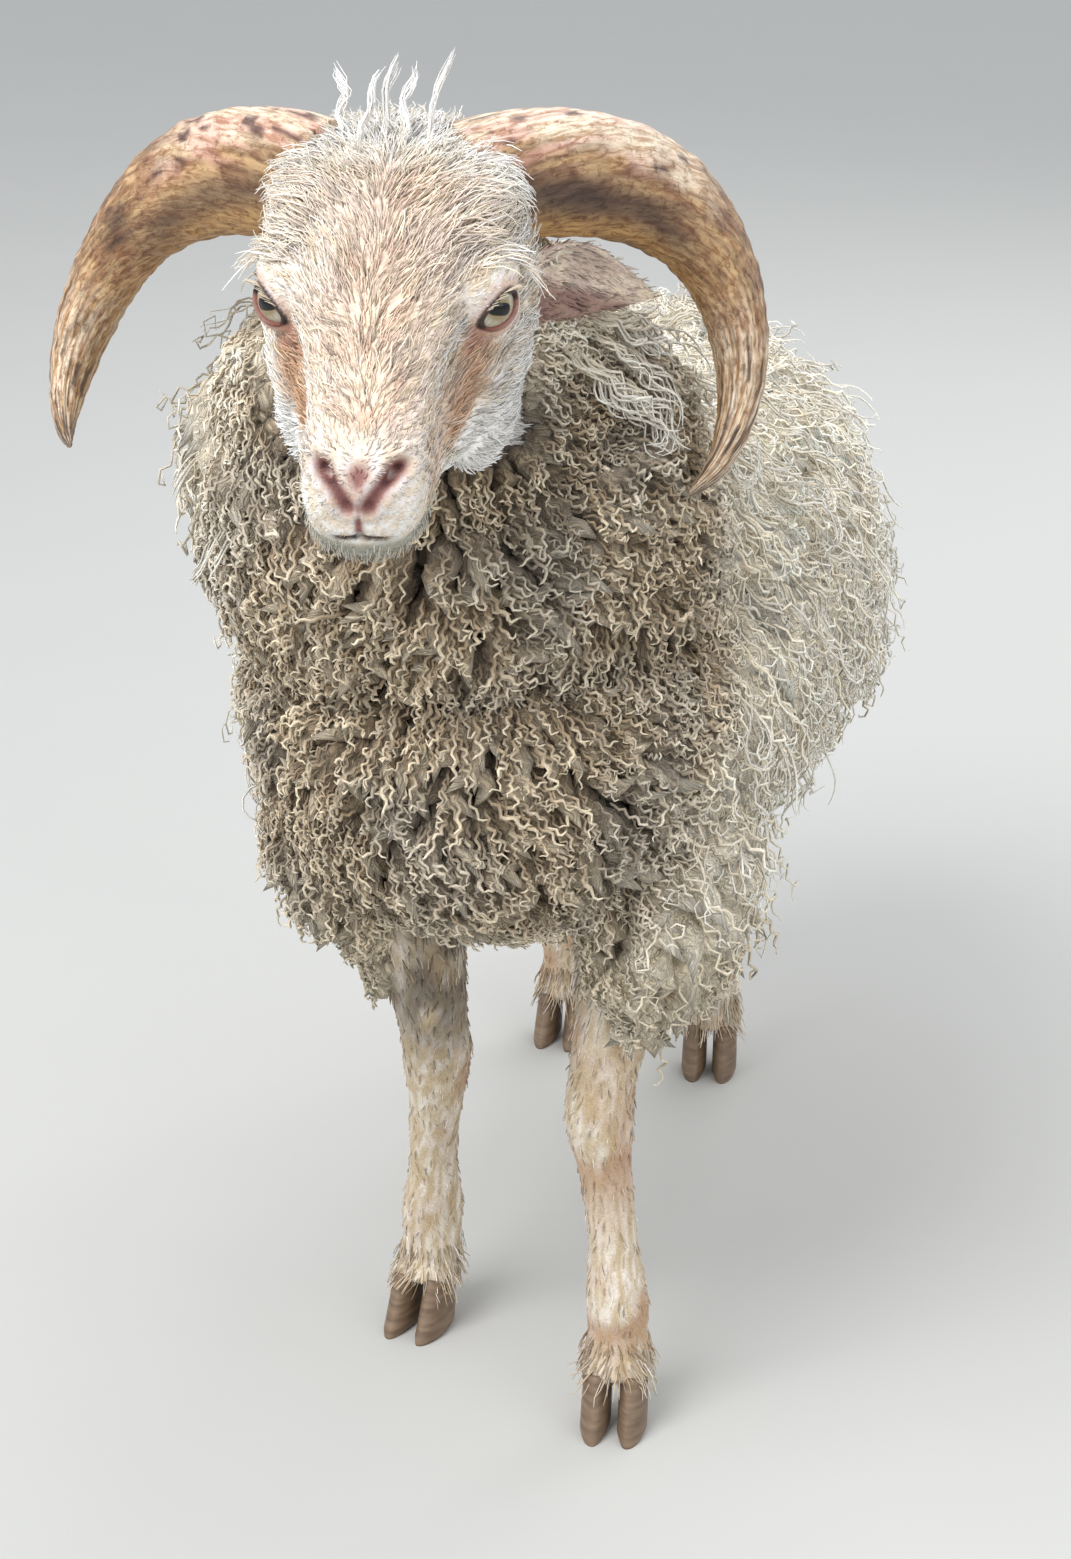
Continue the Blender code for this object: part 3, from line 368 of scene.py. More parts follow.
feet = {
    "sole": .041, "width": .0335, "cleft": .0026, "front": .030, "back": .019, "slope": .017,
    # lift over the claw's edge and share of its width for the last rings of a leg, then the levels of a claw's rings
    "ends": [(.0100, .97), (.0050, .99), (.0, 1.0), (-.002, .93)],
    "levels": (0.0, .03, .10, .22, .36, .5, .64, .78, .9, 1.0, 1.04), "tuck": .0014, "growth": .00010,
    # z, half width, half depth
    "fore": [(.300, .0260, .0360), (.265, .0245, .0330), (.232, .0215, .0275), (.205, .0185, .0225),
             (.186, .0168, .0195), (.170, .0168, .0192), (.154, .0158, .0175), (.138, .0135, .0148),
             (.115, .0122, .0136), (.092, .0122, .0138), (.076, .0142, .0165), (.062, .0155, .0182),
             (.048, .0148, .0165)],
    "hind": [(.310, .0300, .0420), (.275, .0270, .0370), (.245, .0215, .0310), (.222, .0175, .0260),
             (.203, .0160, .0240), (.188, .0162, .0230), (.170, .0152, .0190), (.150, .0132, .0158),
             (.122, .0122, .0140), (.096, .0122, .0140), (.078, .0142, .0165), (.063, .0155, .0182),
             (.049, .0148, .0165)],
    # toe, turn in degrees, middle line as (z, x, y)
    "legs": {
        "fore_leg_left": ((.0618, -.0552), 3, "fore", [(.300, .0640, .0120), (.232, .0580, -.0080),
                          (.170, .0495, -.0170), (.115, .0545, -.0140), (.062, .0595, -.0160)]),
        "fore_leg_right": ((-.0620, .0247), -13, "fore", [(.300, -.0600, .0060), (.232, -.0490, .0190),
                           (.170, -.0430, .0320), (.115, -.0480, .0460), (.062, -.0530, .0620)]),
        "hind_leg_left": ((.0500, .3600), 4, "hind", [(.310, .0740, .3600), (.245, .0620, .4030),
                          (.190, .0540, .4310), (.122, .0500, .4150), (.063, .0480, .3990)]),
        "hind_leg_right": ((-.0500, .3870), -4, "hind", [(.310, -.0740, .3700), (.245, -.0620, .4170),
                           (.190, -.0540, .4490), (.122, -.0500, .4370), (.063, -.0480, .4260)])},
}


def footAxes(name):
    toe, turn, kind, line = feet["legs"][name]
    turn = math.radians(turn)
    forward = np.array([math.sin(turn), -math.cos(turn), 0])
    sideways = np.array([math.cos(turn), math.sin(turn), 0])
    return np.array([*toe, 0.0]), forward, sideways, kind, np.array(line)


def coronet(share):  # height of the claw's upper edge, share 0 at the heel and 1 at the toe
    return feet["back"] + (feet["front"] - feet["back"]) * share


# A leg: ovals along its middle line, the last ones sloping down to the edge of the claws
def legMesh(name):
    toe, forward, sideways, kind, line = footAxes(name)
    z, wide, deep = finer(feet[kind], 46).T
    xy = between(line[:, 1:], np.interp(-z, -line[:, 0], np.arange(len(line))))
    middles = np.concatenate([xy, z[:, None]], 1)
    many = np.ones((46, 1))
    rings = ovalRings(middles, many * sideways, many * -forward, wide, deep, 40)
    angle = np.linspace(0, 2 * math.pi, 40, endpoint=False)
    share = (1 - np.sin(angle)) / 2
    ends = []
    for lift, swell in feet["ends"]:
        front = feet["slope"] + (feet["sole"] * .92 - feet["slope"] + .004) * (1 - share) + max(lift, 0) * 0.6
        side = np.cos(angle) * feet["width"] / 2 * swell
        height = coronet(share) + lift
        ends.append(toe - forward * front[:, None] + sideways * side[:, None] + up * height[:, None])
    return tube(name, np.concatenate([rings, np.array(ends)]))


# A claw: D-shaped rings from the sole up, flat beside the cleft, tucked in at the sole, with faint growth rings
def clawMesh(name, side):
    toe, forward, sideways, kind, line = footAxes(name)
    rings = []
    angle = np.linspace(0, 2 * math.pi, 40, endpoint=False)
    share = (1 - np.sin(angle)) / 2
    for t in feet["levels"]:
        start = feet["slope"] * min(t, 1.0) ** 0.85
        tuck = feet["tuck"] * (1 - rise(t, 0.0, 0.07)) + (0.0012 if t > 1.02 else 0.0)
        ridge = feet["growth"] * math.sin(t * 40) * rise(t, 0.1, 0.3)
        length = feet["sole"] * (0.94 + 0.06 * rise(t, 0.0, 0.15)) - start
        back = start + length * (1 - share)
        inner = feet["cleft"] / 2 + 0.0012 * share
        outer = feet["width"] / 2 - 0.0005 * t
        middle = inner + (outer - inner) * 0.42
        c = np.cos(angle)
        x = middle + c * (np.where(c > 0, outer - middle, middle - inner) - tuck + np.where(c > 0, ridge, 0))
        height = coronet(share) * min(t, 1.0) + (0.0006 if t > 1.02 else 0.0)
        back = back - (share - 0.5) * 2 * (ridge - tuck)
        rings.append(toe - forward * back[:, None] + sideways * (side * x)[:, None] + up * height[:, None])
    return tube("claw", np.array(rings))


# Head

ears = {"root": (.050, .053, -.032), "length": .082, "width": .036, "wall": .0028, "drop": 12.0,
        "back": {1: 45.0, -1: 72.0}}
# Half the opening of the lids in degrees, lengthways and across, and the rim: thickness, more above, more inside
lids = {"long": 44.0, "high": 25.0, "tilt": 2.0, "depth": .0022, "rim": (.0005, .0005, .0008), "rimLift": .0007,
        # the upper band is the lid's dark edge with painted shade from the brow over it
        "rimWider": 2.5, "bands": [(math.pi, 2 * math.pi, "lidLow", .0016), (0, math.pi, "lidRim", .0030)]}
nose = {
    "nostril": [(-.0885, .0150, -.0030), (-.0925, .0140, -.0012), (-.0972, .0108, -.0032),
                (-.1022, .0068, -.0062), (-.1050, .0040, -.0090)],
    "philtrum": [(-.1045, 0, -.0085), (-.1068, 0, -.0140), (-.1080, 0, -.0225)],
    "mouth": [(-.1080, 0, -.0228), (-.1074, .0060, -.0238), (-.1062, .0120, -.0252), (-.1010, .0172, -.0278),
              (-.0930, .0205, -.0300), (-.0800, .0230, -.0315), (-.0660, .0245, -.0325)],
}


def headRings(behind, sides):  # cross-sections of the head at places behind the eyes, as (rings, sides, 2)
    rows = np.array(head["rows"])
    at = np.interp(behind, rows[:, 0], np.arange(len(rows)))
    flat = between(rows, at)
    pairs = [np.stack([flat[:, 0] * 0, flat[:, 1]], -1), flat[:, 2:4], flat[:, 4:6], flat[:, 6:8],
             np.stack([flat[:, 0] * 0, flat[:, 8]], -1)]
    flip = np.array([-1.0, 1.0])
    table = np.stack([pairs[1] * flip, *pairs, pairs[3] * flip])  # (7, rings, 2)
    half = between(table.reshape(7, -1), 1 + 4 * np.linspace(0, 1, sides // 2 + 1)).reshape(-1, len(flat), 2)
    whole = np.concatenate([half, half[-2:0:-1] * flip])  # (sides, rings, 2)
    return flat[:, 0], whole.transpose(1, 0, 2)


def headMesh():
    rows = np.array(head["rows"])
    behind, whole = headRings(np.linspace(rows[0, 0], rows[-1, 0], 120), 96)
    spots = np.concatenate([np.repeat(behind[:, None, None], 96, 1), whole], -1)
    middle = spots[0].mean(0)  # a few smaller rings round the end of the muzzle, on a quarter of an oval
    ends = [middle + (spots[0] - middle) * math.cos(a) - np.array([head["endDepth"] * math.sin(a), 0, 0])
            for a in head["endAngles"]]
    return tube("head", inHead(np.concatenate([np.array(ends), spots])))


def eyeCentre(side):
    return inHead((0, side * head["eyeOut"], head["eyeUp"]))


# The gaze, the way along the opening of the lids and the way across it
def eyeAxes(side, aim=head["eyeAim"], lift=head["eyeLift"]):
    aim, lift = math.radians(aim), math.radians(lift)
    gaze = (ahead * math.cos(aim) + across * side * math.sin(aim)) * math.cos(lift) + upward * math.sin(lift)
    along = unit(ahead - gaze * dot(ahead, gaze))
    over = unit(upward - gaze * dot(upward, gaze))
    tilt = math.radians(-lids["tilt"])
    return gaze, along * math.cos(tilt) + over * math.sin(tilt), over * math.cos(tilt) - along * math.sin(tilt)


def lidCurve(side, angle, reach, grow=0.0):  # almond on a ball of the given radius, angle 0 at the inner corner
    gaze, along, over = eyeAxes(side)
    c, s = np.cos(angle), np.sin(angle)
    long = math.tan(math.radians(lids["long"] + grow)) * np.sign(c) * np.abs(c) ** 0.9
    tall = math.tan(math.radians(lids["high"] + grow)) * np.sign(s) * np.abs(s) ** 1.15
    return eyeCentre(side) + unit(gaze + along * long[:, None] + over * tall[:, None]) * reach


def lidCutter(side):
    angle = np.linspace(0, 2 * math.pi, 48, endpoint=False)
    size = head["eyeRadius"]
    return tube("cutter", np.stack([lidCurve(side, angle, size * r) for r in (0.35, 0.7, 1.05, 1.6)]))


# A rim of bare skin round the ball, thicker on the upper lid and at the inner corner
def lidRim(side):
    angle = np.linspace(0, 2 * math.pi, 72, endpoint=False)
    middle = lidCurve(side, angle, head["eyeRadius"] + lids["rimLift"], lids["rimWider"])
    run = unit(np.roll(middle, -1, 0) - np.roll(middle, 1, 0))
    out = unit(middle - eyeCentre(side))
    thin, above, inside = lids["rim"]
    thick = thin + above * np.clip(np.sin(angle), 0, 1) + inside * np.clip(np.cos(angle), 0, 1) ** 6
    around = np.linspace(0, 2 * math.pi, 12, endpoint=False)
    cross = np.cross(run, out)
    rings = (middle[:, None] + out[:, None] * (np.cos(around)[None] * thick[:, None])[..., None]
             + cross[:, None] * (np.sin(around)[None] * thick[:, None])[..., None])
    index = np.arange(len(angle) * len(around)).reshape(len(angle), len(around))
    following, beside = np.roll(index, -1, 0), np.roll(index, -1, 1)
    quads = np.stack([index, beside, np.roll(following, -1, 1), following], -1).reshape(-1, 4)
    points = rings.reshape(-1, 3)
    if insideOut(points, quads, middle.mean(0)):
        quads = quads[:, ::-1]
    return makeMesh("rim", points, [quads])


def earAxes(side):
    turn, drop = math.radians(ears["back"][side]), math.radians(ears["drop"])
    run = unit((across * side * math.cos(turn) - level * math.sin(turn)) * math.cos(drop) - up * math.sin(drop))
    opens = level * 0.75 + across * side * 0.45 - up * 0.25
    opens = unit(opens - run * dot(opens, run))
    root = inHead((ears["root"][0], side * ears["root"][1], ears["root"][2]))
    return root, run, opens, np.cross(run, opens)


# A cupped leaf: each ring is a crescent, round at the root and thin at the edge. Its half width follows a sine from
# root to tip, its outer side a parabola, and its inner side the same parabola, turned over at the closed root
def earMesh(side):
    root, run, opens, wide = earAxes(side)
    t = np.linspace(0, 1, 44)[:, None]
    here = root + run * (ears["length"] * t - 0.012) - opens * 0.006 * np.sin(math.pi * t)
    shape = np.sin(math.pi * np.minimum(0.16 + 0.84 * t, 0.987)) ** 0.62
    shape = shape * (0.74 + 0.3 * np.sin(math.pi * np.minimum(t * 1.15, 1)))
    half = ears["width"] / 2 * shape * np.where(t > 0.15, 1.0, 0.75 + 1.66 * t)
    cup = 0.55 * half * (1 - 0.35 * t)
    wall = ears["wall"] / 2
    hollow = np.clip((t - 0.12) / 0.18, 0, 1)
    u = np.linspace(-1, 1, 21)[None]
    shallow = cup * (1 - u * u) + wall * (1 - .6 * u * u)
    outer = here[:, None] + wide * (half * u)[..., None] - opens * shallow[..., None]
    v = np.linspace(1, -1, 21)[None] * 0.97
    deep = cup * (1 - v * v) * (2 * hollow - 1) - wall * (1 - .6 * v * v)
    inner = here[:, None] + wide * ((half - wall * .3) * v)[..., None] - opens * deep[..., None]
    return tube("ear", np.concatenate([outer, inner], 1))


# Folds of the face on both sides: middle line, height above the skin, width
folds = [
    ([(-.024, .036, -.004), (-.042, .032, -.014), (-.060, .028, -.022)], -.0052, .0080),  # valley below the eye
    ([(-.022, .025, .016), (-.050, .0195, .007), (-.080, .0175, -.003)], .0034, .0070),  # edge of the bridge
    ([(-.086, .0185, -.004), (-.094, .0195, -.010)], .0016, .0060),  # wing of the nose
    ([(-.030, .034, -.034), (-.050, .030, -.040), (-.066, .027, -.042)], -.0040, .0080),  # hollow of the cheek
    ([(-.012, .0300, .0170), (.002, .0420, .0165), (.014, .0500, .0080)], .0026, .0050),  # brow
    ([(.008, .012, .036), (-.030, .007, .024)], -.0016, .010),  # dip of the forehead
]


def bothSides(spots):
    return np.stack([spots[..., 0], np.abs(spots[..., 1]), spots[..., 2]], -1)


def sculpted(mesh):  # nostrils, lips and folds pressed into the head's surface or raised from it
    points, normals = readMesh(mesh)
    spots = headSpots(points)
    move = np.zeros(len(points))
    for side in (1, -1):  # a groove with a raised rim for each nostril and each half of the mouth
        nostril, mouth = ([(b, side * o, u) for b, o, u in nose[key]] for key in ("nostril", "mouth"))
        far = lineDistance(spots, nostril)
        move -= .0070 * hill(far, 0, .0022) * (.35 + .65 * rise(spots[:, 0], -.104, -.094))
        move += .0013 * hill(far, .0050, .0020)
        far = lineDistance(spots, mouth)
        move -= .0012 * hill(far, 0, .0010) * (1 - .7 * rise(np.abs(spots[:, 1]), .009, .013))
        move += .00045 * hill(far, .0042, .0026)
    move -= .0014 * hill(lineDistance(spots, nose["philtrum"]), 0, .0011)
    folded = bothSides(spots)
    for line, height, width in folds:
        move += height * hill(lineDistance(folded, line), 0, width)
    points += normals * move[:, None]
    mesh.vertices.foreach_set("co", (points + place).astype(np.float32).ravel())
    mesh.update()
    return mesh


# Fineness in metres and rounds of smoothing, and balls under the skin of the head: (behind, out, up) and radii
build = {"faceVoxel": .00128, "faceRounds": 5, "bodyVoxel": .0052, "bodyRounds": 12,
         "balls": [((.006, .0310, .0075), (.0215, .0215, .0185)), ((.012, .0320, -.0520), (.0180, .0420, .0290))]}


def remeshed(mesh, fineness):
    return applied(mesh, [("REMESH", {"mode": "VOXEL", "voxel_size": fineness})])


# Voxel remesh grows each set together, relaxing smooths it, and booleans join head, body, ears, lids and legs
def buildSkin():
    axes = (across, -ahead, upward)
    lid = head["eyeRadius"] + lids["depth"]
    balls = []
    for side in (1, -1):
        balls.append(tube("lid", ballRings(eyeCentre(side), axes, (lid, lid, lid))))
        for (behind, out, above), radii in build["balls"]:
            balls.append(tube("ball", ballRings(inHead((behind, side * out, above)), axes, radii)))
    face = remeshed(joined("face", [headMesh(), *balls]), build["faceVoxel"])
    face = sculpted(relaxed(face, build["faceRounds"]))
    face = withOthers(face, [lidCutter(1), lidCutter(-1)], "DIFFERENCE")
    wool = [tube("limb", ballRings(np.array(c), np.eye(3), [r - body["coatDepth"] * .7 for r in radii]))
            for c, radii in body["limbWool"]]
    trunk = remeshed(joined("body", [trunkMesh(), neckMesh(), tailMesh(), *wool]), build["bodyVoxel"])
    parts = [relaxed(trunk, build["bodyRounds"]), earMesh(1), earMesh(-1), lidRim(1), lidRim(-1)]
    whole = withOthers(face, parts + [legMesh(name) for name in feet["legs"]], "UNION")
    whole.name = "skin"
    whole.materials.clear()
    whole.shade_smooth()
    return whole


skinMesh = buildSkin()
print("skin", len(skinMesh.vertices), len(skinMesh.polygons))

# Colours, as the screen shows them, turned into the linear values that the shaders want


def tone(red, green, blue):
    c = np.array([red, green, blue]) / 255
    return np.where(c <= 0.04045, c / 12.92, ((c + 0.055) / 1.055) ** 2.4)


coatTones = {
    "white": tone(252, 249, 245), "cream": tone(238, 222, 200), "ginger": tone(190, 138, 88),
    # chin: painted shade under the muzzle and chin, with a greenish reflection in it
    # nostril and lip: painted shade in the nostril's hollow and in the crease of the mouth
    "pink": tone(146, 96, 90), "nostril": tone(70, 34, 32), "lip": tone(66, 42, 38), "chin": tone(150, 148, 130),
    # lidRim: the upper lid's dark edge, with painted shade from the brow
    "lidRim": tone(44, 30, 26), "lidLow": tone(120, 66, 54), "lidSkin": tone(184, 134, 120),
    # the darker ear colour is painted shade on the ear's lower half
    "earInside": tone(212, 192, 180), "earShade": tone(134, 92, 82),
    # the wool's root colours are painted shade deep in the fleece
    "chestTip": tone(232, 216, 188), "chestMid": tone(160, 140, 113), "chestRootShade": tone(62, 50, 40),
    "flankTip": tone(255, 251, 240), "flankMid": tone(250, 238, 214), "flankRootShade": tone(204, 180, 146),
    "dirt": tone(34, 29, 26), "legCream": tone(194, 174, 142), "legGinger": tone(168, 118, 76),
    # the darkest leg colour is painted shade on the legs' inner sides
    "legShade": tone(92, 82, 72), "limb": tone(222, 208, 180), "cheek": tone(250, 247, 242),
}


def nearEyes(spots):  # distance to the nearer eye's centre
    return np.linalg.norm(bothSides(spots) - (0, head["eyeOut"], head["eyeUp"]), axis=-1)


# White and cream face: ginger streaks down the bridge, a patch below each eye, bare pink nose and lids
def faceTint(points):
    spots = headSpots(points)
    b, o, u = spots[..., 0], spots[..., 1], spots[..., 2]
    folded = bothSides(spots)
    beside = lambda *line: lineDistance(folded, line)
    streak, patchy = cloud(np.stack([b * .22, o, u], -1), .0019, 1), cloud(points, .012, 2)
    top = rise(u - np.interp(b, [-.11, -.05, 0, .06], [-.014, .002, .012, .012]), -.006, .010)
    bridge = top * hill(o, 0, .034) * rise(b, -.094, -.076) * (1 - rise(b, .022, .045))
    forehead = top * rise(b, -.01, .01) * (1 - rise(b, .035, .055)) * hill(o, 0, .04)
    # the patches below the eyes and the band down the muzzle's sides are ginger hair with painted shade of the valleys
    # there
    belowEye = beside((-.018, .038, -.006), (-.030, .036, -.016), (-.048, .032, -.026))
    muzzleSide = beside((-.040, .028, -.008), (-.064, .0255, -.016), (-.080, .0245, -.020))
    brow = beside((-.016, .024, .018), (.006, .030, .026), (.022, .040, .020))
    ginger = np.maximum.reduce([
        bridge * (.16 + .55 * rise(streak, .25, .75)) * (.55 + .6 * patchy),
        hill(belowEye, 0, np.where(o < 0, .0145, .0105)) * (.45 + .7 * streak),
        .50 * hill(muzzleSide, 0, .0090) * (.5 + .7 * streak),
        .42 * hill(brow, 0, .010) * rise(streak, .3, .8),
        .40 * forehead * rise(streak, .3, .8)])
    nostril, mouth = beside(*nose["nostril"]), beside(*nose["mouth"])
    middle = lineDistance(spots, [(-.0965, 0, -.0030), (-.1045, 0, -.0085), (-.1068, 0, -.0140), (-.108, 0, -.020)])
    bare = np.maximum(hill(nostril, 0, .0042), hill(middle, 0, .0066 - .0048 * rise(-u, -.006, .016)))
    tint = layered(coatTones["cream"], coatTones, [
        ("white", rise(streak, .25, .75)),
        ("ginger", np.clip(ginger, 0, 1)),
        # white on the poll, partly a painted highlight of the light from above
        ("white", .92 * rise(b, .034, .052) * rise(u, -.01, .02)),
        ("cheek", .95 * rise(-u, .030, .042) * rise(b, -.060, -.030)),
        ("pink", np.clip(1.35 * bare, 0, 1)),
        # painted shade in the nostril's groove and the mouth's crease, darkest where each is pressed deepest
        ("nostril", rise(-nostril, -.0026, -.0008) * (.50 + .50 * rise(b, -.103, -.094))),
        ("lip", .95 * rise(-mouth, -.0021, -.0008) * (1 - rise(np.abs(o), .009, .013)))])
    corner = beside((-.0125, .0375, -.0010), (-.0190, .0362, -.0070))
    return layered(tint * (1 - .16 * rise(-b, .074, .090))[..., None], coatTones, [
        # painted shade with a greenish reflection under the muzzle and chin
        ("chin", .85 * rise(-u, .0240, .029) * rise(-b, .066, .092)),
        ("lidSkin", .70 * rise(-corner, -.0052, -.0020)),
        ("lidSkin", .45 * rise(-nearEyes(spots), -.0180, -.0145))])


# Legs: the dark on the inner sides, high under the wool, is painted shade
def legTint(points):  # cream and white, ginger at knee, pastern and below the wool, dark on the inner sides
    x, z = points[..., 0], points[..., 2]
    patchy, fine = cloud(points, .018, 4), cloud(points * [1, 1, .14], .0016, 5)
    ginger = np.maximum.reduce([hill(z, .150, .035), hill(z, .060, .022), .7 * hill(z, .215, .02)])
    # painted shade on the inner sides, below the wool
    inner = np.where(x > 0, hill(x, .018, .014), hill(x, -.040, .026)) * rise(z, .15, .21)
    return layered(coatTones["legCream"], coatTones, [
        ("white", .55 * rise(fine, .3, .8)),
        ("legGinger", .85 * ginger * rise(patchy, .35, .70) * (.5 + .5 * fine)),
        ("legShade", .80 * inner * rise(cloud(points, .014, 6), .15, .55))])


# 1 on the grey neck and chest, 0 on the cream back, flanks and hind quarters: it ends behind a wandering edge,
# on the top of the neck, beyond a limit on the sheep's left, and fades on its right
def chestShare(points):
    x, y, z = points[..., 0], points[..., 1], points[..., 2]
    edge = -.030 + .030 * (cloud(points, .05, 7) - .5) + .04 * (1 - rise(z, .28, .36))
    share = 1 - rise(y, edge - .02, edge + .045)
    back = np.maximum(rise(z, .535, .570) * rise(y, -.130, -.100), rise(z, .575, .60))
    limit = np.interp(z, [.28, .36, .41, .46, .51], [.038, .045, .080, .100, .080])
    cream = np.maximum(.75 * rise(-x, .070, .110) * rise(z, .44, .50), .4 * rise(-x, .085, .125))
    return share * (1 - 0.9 * back) * (1 - .92 * rise(x + .5 * y - limit, -.012, .022)) * (1 - cream)


dirtSpots = [((.046, -.119, .498), .014), ((.039, -.124, .486), .012), ((.030, -.124, .470), .009),
             ((.093, -.072, .482), .010), ((.074, -.083, .431), .010), ((.098, .010, .432), .008)]  # middle, size


def dirtShare(points):  # bells round the middles, broken up by noise
    near = 0
    for middle, size in dirtSpots:
        near = near + np.exp(-(np.linalg.norm(points - middle, axis=-1) / size) ** 2)
    return np.clip(near * 1.3, 0, 1) * rise(cloud(points, .011, 8), .30, .52)


# The wool's darker colour towards the root is painted shade in the depth of the fleece
# Wool from root (0) to tip (1), with each lock's own shade from -1 to 1
def woolTint(points, along, shade):
    chest, dirt = chestShare(points), dirtShare(points)
    root = mix(coatTones["flankRootShade"], coatTones["chestRootShade"], chest)
    middle = mix(coatTones["flankMid"], coatTones["chestMid"], chest)
    tip = mix(coatTones["flankTip"], coatTones["chestTip"], chest)
    tint = mix(root, middle, rise(along, .18, .62))
    tint = mix(tint, tip, rise(along, .62, .98))
    tint = mix(tint, coatTones["limb"], .85 * rise(-points[..., 2], -.320, -.250) * rise(along, -.2, .7))
    tint = tint * (1 + 0.22 * shade[..., None] * mix(np.array([.5]), np.array([1.0]), chest))
    grey = tint.mean(-1, keepdims=True) * np.array([1.03, 1.0, .93])
    tint = mix(tint, grey, 0.35 * chest * rise(cloud(points, .03, 9), .4, .7))
    return mix(tint, coatTones["dirt"], 0.80 * dirt)


# Where a place on the skin belongs, from the skin's own shape
def earShare(points):
    near = 9.0
    for side in (1, -1):
        root, run = earAxes(side)[:2]
        near = np.minimum(near, lineDistance(points, [root + run * .012, root + run * (ears["length"] - .030)]))
    return 1 - rise(near, .019, .022)


def faceShare(points):  # ahead of an edge that runs from the jaw over the cheek to the poll
    b, o, u = headSpots(points).T
    edge = np.interp(u, [-.088, -.060, -.035, 0, .03, .05], [.018, .040, .048, .060, .074, .078])
    return (1 - rise(b, edge - .004, edge + .010)) * (b > -.13) * (u > -.090)


def legShare(points):  # below the edge of the wool, which is higher on the inner sides of the fore legs
    z = points[..., 2]
    fore = points[..., 1] < .2
    inner = rise(.064 - np.abs(points[..., 0]), 0, .014) * rise(np.abs(points[..., 0]), .016, .024) * fore
    hair = np.where(fore, .216, .232) + .072 * inner
    return 1 - rise(z, hair - .012, hair + .012)


def skinTint(points):
    face, leg, ear = faceShare(points), legShare(points), earShare(points)
    # under the wool the skin takes the wool's colour near the root, with its painted shade
    wool = woolTint(points, np.full(len(points), 0.30), np.zeros(len(points)))
    tint = mix(wool, faceTint(points), face)
    tint = mix(tint, legTint(points), leg)
    inside = mix(coatTones["earInside"], coatTones["cream"], rise(cloud(points, .004, 3), .3, .8))
    spots = headSpots(points)
    for side in (1, -1):
        root, wide = earAxes(side)[0], earAxes(side)[3]
        # painted shade on the lower half of each ear
        low = rise((points - root) @ wide * side, .001, .009) * (spots[:, 1] * side > 0)
        inside = mix(inside, coatTones["earShade"], .8 * low)
    tint = mix(tint, inside, ear)
    far = nearEyes(spots)
    for side in (1, -1):
        # the lower lid red-brown; the upper lid dark, its edge with painted shade from the brow
        for first, last, shade, wide in lids["bands"]:
            curve = lidCurve(side, np.linspace(first, last, 31), head["eyeRadius"] + .0012, lids["rimWider"])
            lid = rise(-lineDistance(points, curve), -wide, -.5 * wide) * (far < .018)
            tint = mix(tint, coatTones[shade], .95 * lid)
    return tint


def field(corner, size, turn, along):  # a field of the square: the turn round the part, and the way along it
    return np.stack([corner[0] + size[0] * (turn / (2 * math.pi) + .5), corner[1] + size[1] * along], -1)


# Where the coat's tufts lie in the square for baking: each part of the skin round its own middle line, in a field
# of its own
def skinUv(points):
    x, y, z = points[..., 0], points[..., 1], points[..., 2]
    b, o, u = headSpots(points).T
    face, leg, ear = faceShare(points) > .5, legShare(points) > .5, earShare(points) > .5
    neck = (~face) & (~leg) & (y < -.02) & (z > .42)
    uv = field((.02, .40), (.56, .56), np.arctan2(x, z - .37), (y + .14) / .62)
    uv[neck] = field((.62, .66), (.34, .30), np.arctan2(x + .02, -(y + .03)), (z - .40) / .25)[neck]
    uv[face] = field((.62, .36), (.34, .26), np.arctan2(o, u + .015), (b + .12) / .22)[face]
    for index, row in enumerate(feet["legs"].values()):
        line = np.array(row[3])[::-1]
        mine = leg & ((x > 0) == (line[-1, 1] > 0)) & ((y > .2) == (line[-1, 2] > .2))
        legX, legY = (np.interp(z, line[:, 0], line[:, k]) for k in (1, 2))
        uv[mine] = field((.02 + .15 * index, .02), (.13, .32), np.arctan2(x - legX, y - legY), z / .26)[mine]
    for side in (1, -1):
        root, run, opens, wide = earAxes(side)
        q = points - root
        mine = ear & ((o > 0) == (side > 0))
        along = np.clip((q @ run + .02) / .11, 0, 1)
        uv[mine] = field((.66 + .16 * (side < 0), .04), (.14, .24), np.arctan2(q @ wide, q @ opens), along)[mine]
    return np.clip(uv, .004, .996)


# Materials: each reads the colour painted on its piece and adds fine grain on Object coordinates


